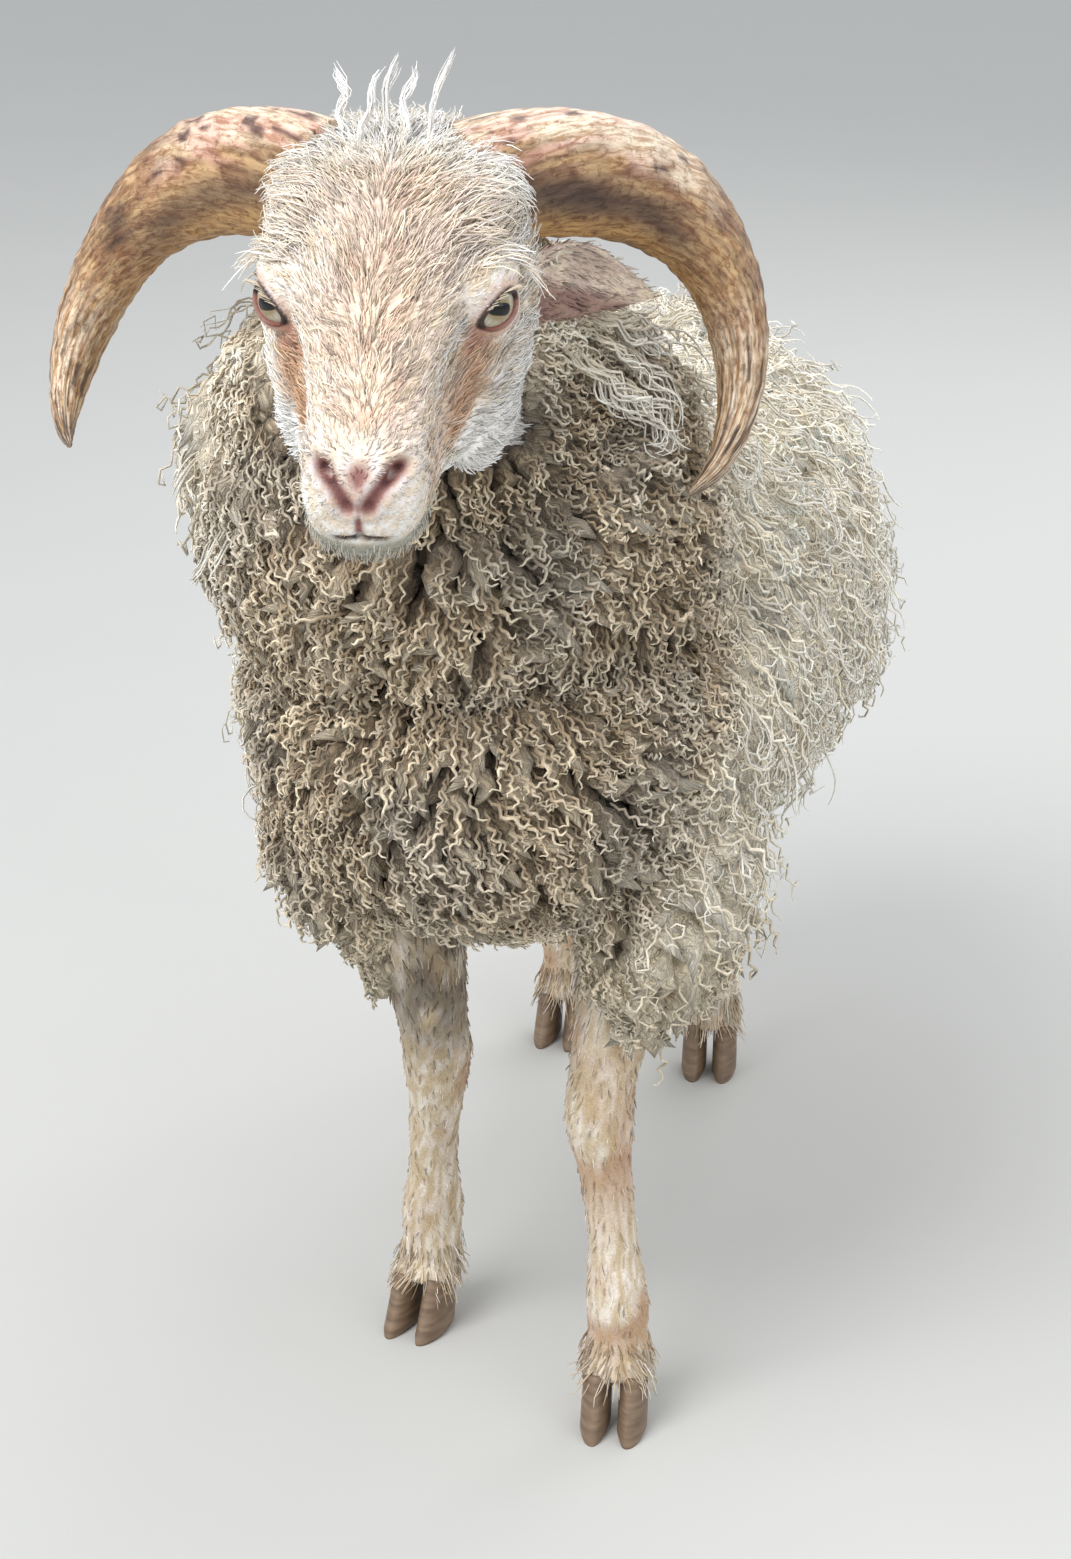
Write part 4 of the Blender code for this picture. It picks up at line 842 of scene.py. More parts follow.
# A material with the shader's values, and short calls that add its nodes and give back an output
def nodeMaterial(name, values):
    material = bpy.data.materials.new(name)
    material.use_nodes = True
    tree = material.node_tree
    shader = tree.nodes["Principled BSDF"]
    for key, value in values.items():
        shader.inputs[key].default_value = value

    def add(kind, values={}, sources={}):  # gives back all the node's outputs
        node = tree.nodes.new("ShaderNode" + kind)
        for key, value in values.items():
            if key in node.inputs:
                node.inputs[key].default_value = value
            else:
                setattr(node, key, value)
        for key, source in sources.items():
            tree.links.new(source, node.inputs[key])
        return node.outputs

    def noise(vector, scale, detail, rough=.5, bend=0.0):
        values = {"Scale": scale, "Detail": detail, "Roughness": rough, "Distortion": bend}
        return add("TexNoise", values, {"Vector": vector})["Fac"]

    def ranged(source, low, high, first, last):
        values = {"From Min": low, "From Max": high, "To Min": first, "To Max": last}
        return add("MapRange", values, {"Value": source})["Result"]

    def counted(kind, *values):  # a sum: numbers are set, outputs are linked
        result = add("Math", {"operation": kind})["Value"]
        for socket, value in zip(result.node.inputs, values):
            if isinstance(value, float):
                socket.default_value = value
            else:
                tree.links.new(value, socket)
        return result

    def ramp(source, low, first, high, last):
        node = tree.nodes.new("ShaderNodeValToRGB")
        for element, at, colour in zip(node.color_ramp.elements, (low, high), (first, last)):
            element.position, element.color = at, (*colour, 1)
        tree.links.new(source, node.inputs["Fac"])
        return node.outputs["Color"]

    def painted():
        return add("Attribute", {"attribute_name": "Tint"})["Color"]

    def objectPlaces():
        return add("TexCoord")["Object"]

    def stretched(vector, scale):
        return add("Mapping", {"Scale": scale}, {"Vector": vector})["Vector"]

    def feed(key, source):
        tree.links.new(source, shader.inputs[key])

    def shade(factor):  # the painted colour times the factor
        scaled = add("VectorMath", {"operation": "SCALE"}, {0: painted(), "Scale": factor})
        feed("Base Color", scaled["Vector"])

    def bump(height, strength, distance):
        feed("Normal", add("Bump", {"Strength": strength, "Distance": distance}, {"Height": height})["Normal"])

    return SimpleNamespace(material=material, add=add, noise=noise, ranged=ranged, counted=counted, ramp=ramp,
                           painted=painted, objectPlaces=objectPlaces, stretched=stretched, feed=feed,
                           shade=shade, bump=bump)


def coatMaterial(name, look):
    kit = nodeMaterial(name, {"Roughness": look["rough"], "Sheen Weight": look["sheen"], "Sheen Roughness": .4,
                              "Specular IOR Level": look["gloss"]})
    fine = kit.noise(kit.objectPlaces(), look["grain"], 3.0, .6)
    kit.shade(kit.ranged(fine, .3, .7, 1 - look["vary"], 1 + look["vary"]))
    kit.bump(fine, look["bump"], look["relief"])
    return kit.material


# Fine crimped fibres along a lock: noise drawn out along it, swung sideways by a sine wave
def lockMaterial(name, look):
    kit = nodeMaterial(name, {"Roughness": look["rough"], "Sheen Weight": look["sheen"],
                              "Specular IOR Level": look["gloss"]})
    grain = kit.add("UVMap", {"uv_map": "LockGrain"})["UV"]
    apart = kit.add("SeparateXYZ", {}, {"Vector": grain})
    wander = kit.counted("MULTIPLY", kit.noise(grain, 160.0, 1.0), 9.0)
    turns = kit.counted("MULTIPLY_ADD", apart["Y"], 6.283 / look["crimp"], wander)
    swing = kit.counted("MULTIPLY", kit.counted("SINE", turns), look["swing"])
    sideways = kit.counted("MULTIPLY", kit.counted("ADD", apart["X"], swing), look["fine"])
    along = kit.counted("MULTIPLY", apart["Y"], look["fine"] * .10)
    fibres = kit.noise(kit.add("CombineXYZ", {}, {"X": sideways, "Y": along})["Vector"], 1.0, 2.0, .55)
    kit.shade(kit.ranged(fibres, .34, .62, 1 - look["vary"], 1 + look["vary"] * .6))
    kit.bump(fibres, look["bump"], look["relief"])
    return kit.material


finishes = {
    "skin": {"grain": 900.0, "vary": .18, "bump": .5, "relief": .0006, "rough": .62, "sheen": .15, "gloss": .35},
    "wool": {"grain": 700.0, "vary": .22, "bump": .6, "relief": .0005, "rough": .72, "sheen": .25, "gloss": .25},
    "lump": {"crimp": .0042, "swing": .0012, "fine": 900.0, "vary": .50, "bump": 1.0, "relief": .0028, "rough": .8,
             "sheen": .2, "gloss": .2},
    "fur": {"grain": 1200.0, "vary": .15, "bump": .3, "relief": .0003, "rough": .55, "sheen": .2, "gloss": .35},
}
woolMaterial = coatMaterial("fleece_wool", finishes["wool"])
lumpMaterial = lockMaterial("fleece_depth", finishes["lump"])
furMaterial = coatMaterial("short_hair", finishes["fur"])
skinPoints, skinNormals = readMesh(skinMesh)
setColour(skinMesh, "Tint", skinTint(skinPoints))
addPiece("skin", skinMesh, coatMaterial("bare_skin", finishes["skin"]),
         ["head", "neck", "torso", "tail", "ear_left", "ear_right", *feet["legs"]])

# Eyes: a ball with a slightly raised clear front, the iris and the long level pupil painted round the gaze

eye = {"irisReach": 50.0, "pupilLong": 25.0, "pupilHigh": 13.0, "raised": .0005, "aim": 39.0, "lift": 22.0,
       "iris": tone(204, 200, 182), "irisDeep": tone(150, 132, 96), "edge": tone(40, 30, 24),
       "pupil": tone(10, 10, 14), "white": tone(214, 196, 178)}


def eyeMesh(side):
    gaze, along, over = eyeAxes(side, eye["aim"], eye["lift"])
    flat = unit(along * [1, 1, 0] + up * .10)
    flat = unit(flat - gaze * dot(flat, gaze))
    over = unit(np.cross(gaze, flat)) * np.sign(dot(np.cross(gaze, flat), over))
    reach = np.radians(np.concatenate([np.linspace(.6, 60, 80), np.linspace(63, 178, 36)]))
    angle = np.linspace(0, 2 * math.pi, 128, endpoint=False)
    r, a = np.meshgrid(reach, angle, indexing="ij")
    size = head["eyeRadius"] + eye["raised"] * hill(np.degrees(r), 0, 38)
    direction = (gaze * np.cos(r)[..., None] + flat * (np.sin(r) * np.cos(a))[..., None]
                 + over * (np.sin(r) * np.sin(a))[..., None])
    mesh = tube("eye", eyeCentre(side) + direction * size[..., None])
    q = unit(readMesh(mesh)[0] - eyeCentre(side))
    out = np.degrees(np.arccos(np.clip(q @ gaze, -1, 1)))
    x, y = np.degrees(np.arctan2(q @ flat, q @ gaze)), np.degrees(np.arctan2(q @ over, q @ gaze))
    ray = cloud(np.stack([np.arctan2(y, x), out * .006, out * 0], -1), 0.045, 3)
    slot = np.abs(x / eye["pupilLong"]) ** 4 + np.abs(y / eye["pupilHigh"]) ** 3  # 1 on the pupil's edge
    setColour(mesh, "Tint", layered(eye["irisDeep"], eye, [
        ("iris", np.clip(rise(out, 18, 34) * (.35 + .9 * ray), 0, 1)),
        ("edge", .9 * rise(out, eye["irisReach"] - 6, eye["irisReach"])),
        ("white", rise(out, eye["irisReach"], eye["irisReach"] + 3)),
        ("pupil", 1 - rise(slot, .8, 1.15))]))
    return mesh


def eyeMaterial():
    kit = nodeMaterial("wet_eye", {"Roughness": .10, "Coat Weight": .30, "Coat Roughness": .03,
                                   "Specular IOR Level": .3})
    kit.feed("Base Color", kit.painted())
    return kit.material


wet = eyeMaterial()
for side, name in ((1, "eye_left"), (-1, "eye_right")):
    addPiece(name + "_ball", eyeMesh(side), wet, [name])
print("eyes")

# Horns: an oval carried along a flat spiral, with growth rings, a ridge in front and cracks near the root

horns = {
    "centre": (-.0632, -.0311), "start": 81.0, "startRadius": .0729, "wide": .0440, "deep": .0540,
    "tip": .07, "taper": 1.9, "sides": 72, "front": (.304, -1.489, .914), "halfSeen": .0255,
    1: {"radius": .0705, "sweep": 173.0, "out": (.0330, .300, -.212), "band": 1.0, "darkPatch": (.10, -.45),
        "bare": (.22, .42)},
    -1: {"radius": .0555, "sweep": 171.0, "out": (.0370, .300, -.184), "band": .80, "darkPatch": (.36, .30),
         "bare": (.12, .28)},
    "ringHeight": .00045, "ridge": .0022,
    "bone": tone(250, 234, 210), "tan": tone(208, 172, 126), "brown": tone(74, 52, 38), "ochre": tone(204, 160, 98),
    "crack": tone(70, 34, 30), "pink": tone(234, 180, 166), "dark": tone(64, 42, 32), "rust": tone(146, 96, 64),
}


def hornTaper(t):  # 1 at the root, the tip's share at t = 1, falling as t to the power taper
    return 1 - (1 - horns["tip"]) * np.clip(t, 0, 1) ** horns["taper"]


def hornMiddle(side, t):  # a circle whose radius changes evenly, pushed outwards by a parabola
    shape = horns[side]
    angle = np.radians(horns["start"] + shape["sweep"] * t)
    radius = horns["startRadius"] + (shape["radius"] - horns["startRadius"]) * t
    start, grow, bend = shape["out"]
    out = start + grow * t + bend * t * t
    forward = horns["centre"][0] + radius * np.cos(angle)
    height = horns["centre"][1] + radius * np.sin(angle)
    return (eyeMiddle + across * side * out[:, None] + level * forward[:, None] + up * height[:, None])


def hornMesh(side):
    sides = horns["sides"]
    t = np.concatenate([np.linspace(-.03, 1, 190), [1.006, 1.010]])
    middle = hornMiddle(side, t)
    run = unit(hornMiddle(side, t + .01) - hornMiddle(side, t - .01))
    outward = unit(across * side - run * dot(across * side, run)[:, None])
    radial = unit(np.cross(run, outward))
    taper = hornTaper(t)
    taper[-2:] *= (.75, .35)  # the last two rings round the tip
    angle = np.linspace(0, 2 * math.pi, sides, endpoint=False)
    c, s = np.cos(angle), np.sin(angle)
    # growth rings: the mean of a close sine whose beat wanders and a wider one, weaker at the root and tip
    wave = (np.sin(t * 150 + 3 * np.sin(t * 13)) + np.sin(t * 61 + 1)) / 2 * horns["ringHeight"]
    wave = wave * rise(t, .02, .12) * (1 - .6 * rise(t, .5, .9))
    deep = horns["deep"] / 2 * taper[:, None] + wave[:, None]
    wide = horns["wide"] / 2 * taper[:, None] + wave[:, None]
    ridge = horns["ridge"] * taper[:, None] * hill(angle[None], math.pi * (.75 if side > 0 else .25), .42)
    rough = cloud(np.stack(np.broadcast_arrays(t[:, None] * .12, c[None] * .02, s[None] * .02), -1), .004, 5) - .5
    lump = rough * .0010 * taper[:, None]
    rings = (middle[:, None] + radial[:, None] * ((deep + ridge + lump) * c)[..., None]
             + outward[:, None] * ((np.where(s > 0, wide, wide * .92) + ridge + lump) * s)[..., None])
    mesh = tube("horn", rings)
    at = np.concatenate([np.repeat(np.arange(len(t)), sides), [0, len(t) - 1]])  # the ring of each point
    turn = np.concatenate([np.tile(angle, len(t)), [0, 0]])
    setUv(mesh, "HornGrain", np.stack([t[at], turn / (2 * math.pi)], -1))
    aside = unit(np.cross(run, middle - horns["front"])) * side
    w = dot(readMesh(mesh)[0] - middle[at], aside[at]) / (horns["halfSeen"] * taper[at])
    setColour(mesh, "Tint", hornTint(horns[side], t[at], turn, w))
    return mesh


# Layers over the tan, from the root (t = 0) to the tip (1), and over w: -1 on the inner edge of the curl and 1 on
# the outer edge, as the front shows them
def hornTint(own, t, turn, w):
    def noise(long, round, size, seed):
        return cloud(np.stack([t * long, np.cos(turn) * round, np.sin(turn) * round], -1), size, seed)

    grain, fibres = noise(.36, .42, .030, 2), noise(.30, .5, .018, 4)
    patches, marks = noise(.55, .22, .034, 6), noise(.55, .15, .013, 8)
    # the brown front near the root: brown horn with painted shade in its hollow
    band = hill(w, -.36, .34) * rise(t, -.02, .03) * (1 - rise(t, .24, .46)) * own["band"]
    # the pale top near the root: pale horn with a painted highlight where the light falls on it
    bone = (1 - rise(t, *own["bare"])) * rise(w + .5 * (patches - .5), .25, .62)
    rootward = rise(w, .10, .45) * (1 - rise(t, .26, .40))
    # a dark patch; on the sheep's left horn it lies in the shaded front near the root and adds painted shade there
    darkPatch = np.exp(-(((t - own["darkPatch"][0]) / .07) ** 2 + ((w - own["darkPatch"][1]) / .30) ** 2))
    return layered(horns["tan"], horns, [
        ("rust", .60 * rise(patches, .46, .60)),
        ("brown", .45 * rise(grain, .56, .66) * rise(w, -.6, .2)),
        ("ochre", .85 * rise(-w, .40, .80)),
        ("brown", band * (.75 + .25 * fibres)),
        ("bone", np.clip(bone, 0, 1) * (.80 + .20 * fibres)),
        ("pink", .60 * (1 - rise(t, .10, .28)) * rise(w, -.05, .40) * rise(patches, .40, .58)),
        ("crack", .85 * rise(marks, .60, .72) * rootward * rise(patches, .38, .52)),
        ("crack", .65 * rise(marks, .55, .68) * rise(w, .50, .85) * rise(t, .30, .42)),
        ("dark", .85 * darkPatch * (.5 + .7 * grain)),
        ("bone", .85 * rise(t, .44, .70) * rise(fibres, .36, .56)),
        ("dark", .80 * rise(grain, .58, .66) * rise(t, .50, .80)),
        ("dark", .60 * rise(-w, .84, .98) * rise(t, .12, .30)),
        ("dark", .75 * rise(t, .86, .98) * rise(patches, .40, .55))])


def hornMaterial():
    kit = nodeMaterial("horn", {"Coat Weight": .08, "Coat Roughness": .35})
    grain = kit.add("UVMap", {"uv_map": "HornGrain"})["UV"]
    fibre = kit.noise(kit.stretched(grain, (30.0, 60.0, 1.0)), 1.0, 5.0, .65, .6)
    speck = kit.noise(kit.objectPlaces(), 260.0, 4.0, .7)
    mottle = kit.noise(kit.objectPlaces(), 55.0, 3.0, .6)
    colour = kit.painted()
    stains = [(fibre, .44, .60, .85, (.46, .32, .22)), (speck, .56, .65, .60, (.40, .26, .19)),
              (mottle, .50, .66, .40, (.52, .38, .29))]
    for source, low, high, most, stain in stains:
        values = {"data_type": "RGBA", "blend_type": "MULTIPLY", "B": (*stain, 1)}
        colour = kit.add("Mix", values, {"Factor": kit.ranged(source, low, high, 0, most), "A": colour})["Result"]
    kit.feed("Base Color", colour)
    kit.bump(kit.counted("ADD", kit.ranged(fibre, .3, .7, 0, 1), kit.ranged(speck, .55, .7, 0, -.8)), .7, .0006)
    kit.feed("Roughness", kit.ranged(fibre, .3, .7, .42, .62))
    return kit.material


hornFinish = hornMaterial()
for side, name in ((1, "horn_left"), (-1, "horn_right")):
    addPiece(name + "_shell", hornMesh(side), hornFinish, [name])
print("horns")

# Claws: brown horn with fine level rings


def clawMaterial():
    kit = nodeMaterial("claw_horn", {"Roughness": .5})
    ring = kit.noise(kit.stretched(kit.objectPlaces(), (60, 60, 420)), 1.0, 4.0)
    kit.feed("Base Color", kit.ramp(ring, .35, tone(104, 84, 66), .68, tone(134, 112, 90)))
    kit.bump(ring, .35, .0003)
    return kit.material


clawFinish = clawMaterial()
for name in feet["legs"]:
    pair = name.replace("leg", "claw")
    sheepSide = 1 if name.endswith("left") else -1
    for side in (1, -1):
        node = pair + ("_outer" if side == sheepSide else "_inner")
        addPiece(node + "_horn", clawMesh(name, side), clawFinish, [node])
print("claws")

# The coat: thin closed tufts, three-sided, carried along a bent and waved middle line

chances = np.random.default_rng(23)
spotCount = 420000
pieceLimit = 196000  # triangles in one piece of the coat


def skinSpots(count):  # evenly likely places all over the skin, each with the way out
    index = meshTriangles(skinMesh)
    a, b, c = (skinPoints[index[:, k]] for k in range(3))
    area = np.linalg.norm(np.cross(b - a, c - a), axis=1)
    pick = chances.choice(len(index), count, p=area / area.sum())
    s = np.sqrt(chances.random(count))
    t = chances.random(count)
    w = np.stack([1 - s, s * (1 - t), s * t], -1)
    corners = index[pick]
    points = (skinPoints[corners] * w[..., None]).sum(1)
    outward = unit((skinNormals[corners] * w[..., None]).sum(1))
    return points, outward


# Numbers of the points left when each has about its own room: the first in each cell of shifted grids
def thinned(points, spacing, rounds=3):
    kept = np.arange(len(points))
    for size, shift in ((1.0, 0), (.75, .5), (.75, .25))[:rounds]:
        cell = np.floor(points[kept] / (spacing * size) + shift).astype(int)
        first = np.unique(cell, axis=0, return_index=True)[1]
        kept = kept[np.sort(first)]
    return kept


spots, spotsOut = skinSpots(spotCount)
spotFace, spotLeg, spotEar = faceShare(spots), legShare(spots), earShare(spots)
spotChest = chestShare(spots)


def flatOn(direction, outward):  # a direction laid on the surface
    return unit(direction - outward * dot(direction, outward)[:, None])


def turned(direction, outward, angle):  # a direction turned about the way out
    return direction * np.cos(angle)[:, None] + np.cross(outward, direction) * np.sin(angle)[:, None]


# Middle line: it leaves the skin at leanRoot from upright and lies over to leanTip along the lie,
# swings sideways by hook towards its tip, and a flattened coil of some waves is laid over it
def middleLines(root, out, lie, plan, places, scale):
    pick = lambda key: np.asarray(plan.get(key, 0.0), float).reshape(-1, 1) * np.ones((len(root), 1))
    t = np.asarray(places)[None]
    side = np.cross(out, lie)
    lean = pick("leanRoot") + (pick("leanTip") - pick("leanRoot")) * t ** 1.2
    swing = pick("hook") * rise(t, .45, 1.0) ** 1.5
    flat = lie[:, None] * np.cos(swing)[..., None] + side[:, None] * np.sin(swing)[..., None]
    way = out[:, None] * np.cos(lean)[..., None] + flat * np.sin(lean)[..., None]
    step = np.diff(t, axis=1) * pick("length") * scale[:, None]
    run = (way[:, 1:] + way[:, :-1]) / 2 * step[..., None]
    start = root + out * (pick("start")[:, 0] * scale)[:, None]
    spine = np.concatenate([start[:, None], start[:, None] + np.cumsum(run, 1)], 1)
    spine[..., 2] -= pick("droop") * t ** 2
    phase = pick("phase") + 2 * math.pi * pick("waves") * t
    size = pick("waveSize") * rise(t, .0, .4)
    beside = np.cross(out[:, None], flat)
    over = np.cross(beside, way)
    return (spine + beside * (size * np.cos(phase))[..., None]
            + over * (size * .6 * np.sin(phase))[..., None])


def chosen(plan, mask):  # the plan's rows for some of the tufts
    return {key: value[mask] if isinstance(value, np.ndarray) else value for key, value in plan.items()}


def tuftFaces(places, sides):  # one tuft's faces, and how far along and round it each of its points lies
    rings = len(places)
    ring = np.arange(rings * sides).reshape(rings, sides)
    beside = np.roll(ring, -1, 1)
    quads = np.stack([ring[:-1], beside[:-1], beside[1:], ring[1:]], -1).reshape(-1, 4)
    fans = np.stack([ring[-1], beside[-1], np.full(sides, rings * sides)], -1)
    fans = np.concatenate([fans, [[0, k + 1, k] for k in range(1, sides - 1)]])
    along = np.concatenate([np.repeat(np.asarray(places), sides), [1.0]])
    around = np.concatenate([np.tile(np.arange(sides) / sides, rings), [.5]])
    return quads, fans, along, around


# Rings round each middle line, their radius along it given by the profile, and a point beyond the last ring; each
# ring's first direction is the one before it, turned as little as the line's bend needs
def tuftPoints(spine, out, thick, plan, places, sides):
    tangent = unit(np.gradient(spine, axis=1))
    first = np.zeros_like(spine)
    first[:, 0] = unit(np.cross(tangent[:, 0], out + .01))
    for k in range(1, len(places)):
        first[:, k] = unit(first[:, k - 1] - tangent[:, k] * dot(first[:, k - 1], tangent[:, k])[:, None])
    second = np.cross(tangent, first)
    profile = np.interp(np.asarray(places), plan["profileAt"], plan["profile"])[None] * thick
    angle = np.linspace(0, 2 * math.pi, sides, endpoint=False)
    shell = (spine[:, :, None] + first[:, :, None] * (profile[..., None] * np.cos(angle))[..., None]
             + second[:, :, None] * (profile[..., None] * np.sin(angle))[..., None])
    tip = spine[:, -1] + tangent[:, -1] * thick * 1.5
    return np.concatenate([shell.reshape(len(spine), -1, 3), tip[:, None]], 1)


# Tufts along their middle lines, each coloured by the tinter from root to tip; a tuft in the way of something is
# made shorter, or left out where that doesn't help
def coatPiece(name, root, out, lie, plan, places, material, tinter, sides=3, clear=None):
    scale = np.ones(len(root))
    if clear:
        for smaller in (.62, .36, .2):
            scale[~clear(middleLines(root, out, lie, plan, places, scale)).all(1)] = smaller
        good = clear(middleLines(root, out, lie, plan, places, scale)).all(1)
        root, out, lie, scale, plan = root[good], out[good], lie[good], scale[good], chosen(plan, good)
    count = len(root)
    spine = middleLines(root, out, lie, plan, places, scale)
    thick = (plan["thick"] * np.ones(count) * (.4 + .6 * scale))[:, None]
    points = tuftPoints(spine, out, thick, plan, places, sides)
    quads, fans, along, around = tuftFaces(places, sides)
    each, triangles = len(along), len(quads) * 2 + len(fans)
    rootUv = skinUv(root)
    patch = .003 * np.stack([around - .5, along - .5], -1)
    shade = np.asarray(plan["shade"])[:, None] * np.ones((1, each))
    tint = tinter(points, np.repeat(along[None], count, 0), shade, root)
    pieces = math.ceil(count / (pieceLimit // triangles))
    for k in range(pieces):
        mine = slice(k * count // pieces, (k + 1) * count // pieces)
        some = points[mine]
        shift = (np.arange(len(some)) * each)[:, None, None]
        label = f"{name}_{k + 1}" if pieces > 1 else name
        faces = [(quads + shift).reshape(-1, 4), (fans + shift).reshape(-1, 3)]
        mesh = makeMesh(label, some.reshape(-1, 3), faces)
        setUv(mesh, "OFBake", (rootUv[mine][:, None] + patch[None]).reshape(-1, 2))
        if sides > 3:
            girth, long = thick[mine] * 6.28, (plan["length"] * np.ones(count) * scale)[mine][:, None]
            setCornerUv(mesh, "LockGrain", quads, fans, around, along, girth, long)
        setColour(mesh, "Tint", np.clip(tint[mine].reshape(-1, 3), 0, 1))
        addPiece(label, mesh, material)
    print(name, count, "tufts,", pieces, "pieces,", count * triangles, "triangles")


# Distance round and along each lock in metres, unbroken round the lock, with its own start
def setCornerUv(mesh, name, quads, fans, around, along, girth, long):
    count = len(girth)
    own = np.random.default_rng(count).random((count, 1, 2))
    layers = []
    for faces in (quads, fans):
        turn = around[faces]
        turn = np.where(turn < turn.max(1, keepdims=True) - .5, turn + 1, turn)
        places = np.stack([turn.ravel()[None] * girth, along[faces].ravel()[None] * long], -1)
        layers.append((places + own).reshape(-1, 2))
    layer = mesh.uv_layers.new(name=name)
    layer.uv.foreach_set("vector", np.concatenate(layers).astype(np.float32).ravel())


def woolLie(points, outward):  # down and back over the body, parted along the spine and down the back of the neck
    x, y, z = points.T
    down = np.stack([.30 * np.tanh(x / .02), .45 + 0 * y, -1.0 + 0 * z], -1)
    aside = np.stack([.5 * np.tanh((x + .02) / .03), .1 + 0 * y, 0 * z], -1)
    return flatOn(down + rise(z, .47, .56)[:, None] * aside, outward)


def woolColour(points, along, shade, root):  # the tuft's place is its root, so that one tuft keeps one colour
    return woolTint(np.repeat(root[:, None], points.shape[1], 1), along, shade)


crimpedPlaces = [0, .17, .33, .47, .60, .72, .83, .92]
plainPlaces = [0, .25, .5, .72, .90]
backPlaces = [0, .14, .27, .39, .50, .60, .69, .78, .86, .93, .98]
curlPlaces = [0, .12, .23, .33, .42, .51, .60, .69, .78, .86, .93, .98]
# A bunch: room for each, its lump, and the cords spread round it; lengths in metres, leans and hooks in degrees
wool = {
    "front": {"spacing": .0082, "lump": .0060, "lumpLength": (.026, .034), "lumpLean": (30, 84), "lumpWave": .0023,
              "lumpPlaces": crimpedPlaces, "cords": 3, "spread": .0046, "length": (.015, .021), "start": .0155,
              "leanRoot": 58, "leanTip": 96, "thick": .00082, "waves": (2.7, 3.6), "waveSize": .00135, "hook": 60,
              "places": curlPlaces},
    "collar": {"spacing": .0066, "lump": .0044, "lumpLength": (.013, .018), "lumpLean": (34, 88), "lumpWave": .0017,
               "lumpPlaces": crimpedPlaces, "cords": 3, "spread": .0036, "length": (.010, .015), "start": .0085,
               "leanRoot": 60, "leanTip": 97, "thick": .00072, "waves": (1.8, 2.6), "waveSize": .00125, "hook": 70,
               "places": backPlaces},
    "back": {"spacing": .0121, "lump": .0086, "lumpLength": (.028, .036), "lumpLean": (36, 88), "lumpWave": .0014,
             "lumpPlaces": plainPlaces, "cords": 1, "spread": .0070, "length": (.030, .044), "start": .0175,
             "leanRoot": 66, "leanTip": 97, "thick": .00070, "waves": (2.2, 3.4), "waveSize": .0031, "hook": 190,
             "places": backPlaces},
}


# The bare parts, in metres: the cheek's middle and radii, the nape's wedge, half a horn at its root, an ear's radii
bareParts = {"cheek": ((.004, .032, -.052), (.036, .0180, .026)), "horn": .025, "earLength": .60, "ear": (.018, .020),
             "nape": {"aside": .080, "behind": (.04, .26), "height": .034, "slope": 1.19}}


def inBall(offsets, radii):  # offsets along three axes against three radii
    return sum((offset / radius) ** 2 for offset, radius in zip(offsets, radii)) < 1


def clearOfHead(points, margin):  # False where wool would lie in or over the bare face, a horn or an ear
    spotsHere = headSpots(points)
    b, o, u = spotsHere[..., 0], np.abs(spotsHere[..., 1]), spotsHere[..., 2]
    rows = np.array(head["rows"])
    top, brow, cheek, bottom = (np.interp(b, rows[:, 0], rows[:, k]) for k in (1, 4, 6, 8))
    wide = np.maximum(brow, cheek) + margin
    middle, reach = (top + bottom) / 2, (top - bottom) / 2 + margin
    inside = ((o / wide) ** 4 + ((u - middle) / reach) ** 4 < 1) & (b < .040) & (b > -.12)
    (behind, out, above), radii = bareParts["cheek"]
    inside |= inBall((b - behind, o - out, u - above), np.array(radii) + margin)
    nape = bareParts["nape"]
    first, last = nape["behind"]
    ridge = nape["height"] - margin - nape["slope"] * (b - .05)
    inside |= (o < nape["aside"]) & (b > first) & (b < last) & (u > ridge)
    t = np.linspace(0, 1, 30)
    for side in (1, -1):
        for middle, taper in zip(hornMiddle(side, t), hornTaper(t)):
            inside |= np.linalg.norm(points - middle, axis=-1) < bareParts["horn"] * taper + margin
        root, run, opens, beside = earAxes(side)
        q = points - (root + run * ears["length"] * .42 + opens * .008)
        radii = np.array([ears["length"] * bareParts["earLength"], *bareParts["ear"]]) + margin
        inside |= inBall((q @ run, q @ opens, q @ beside), radii)
    return ~inside


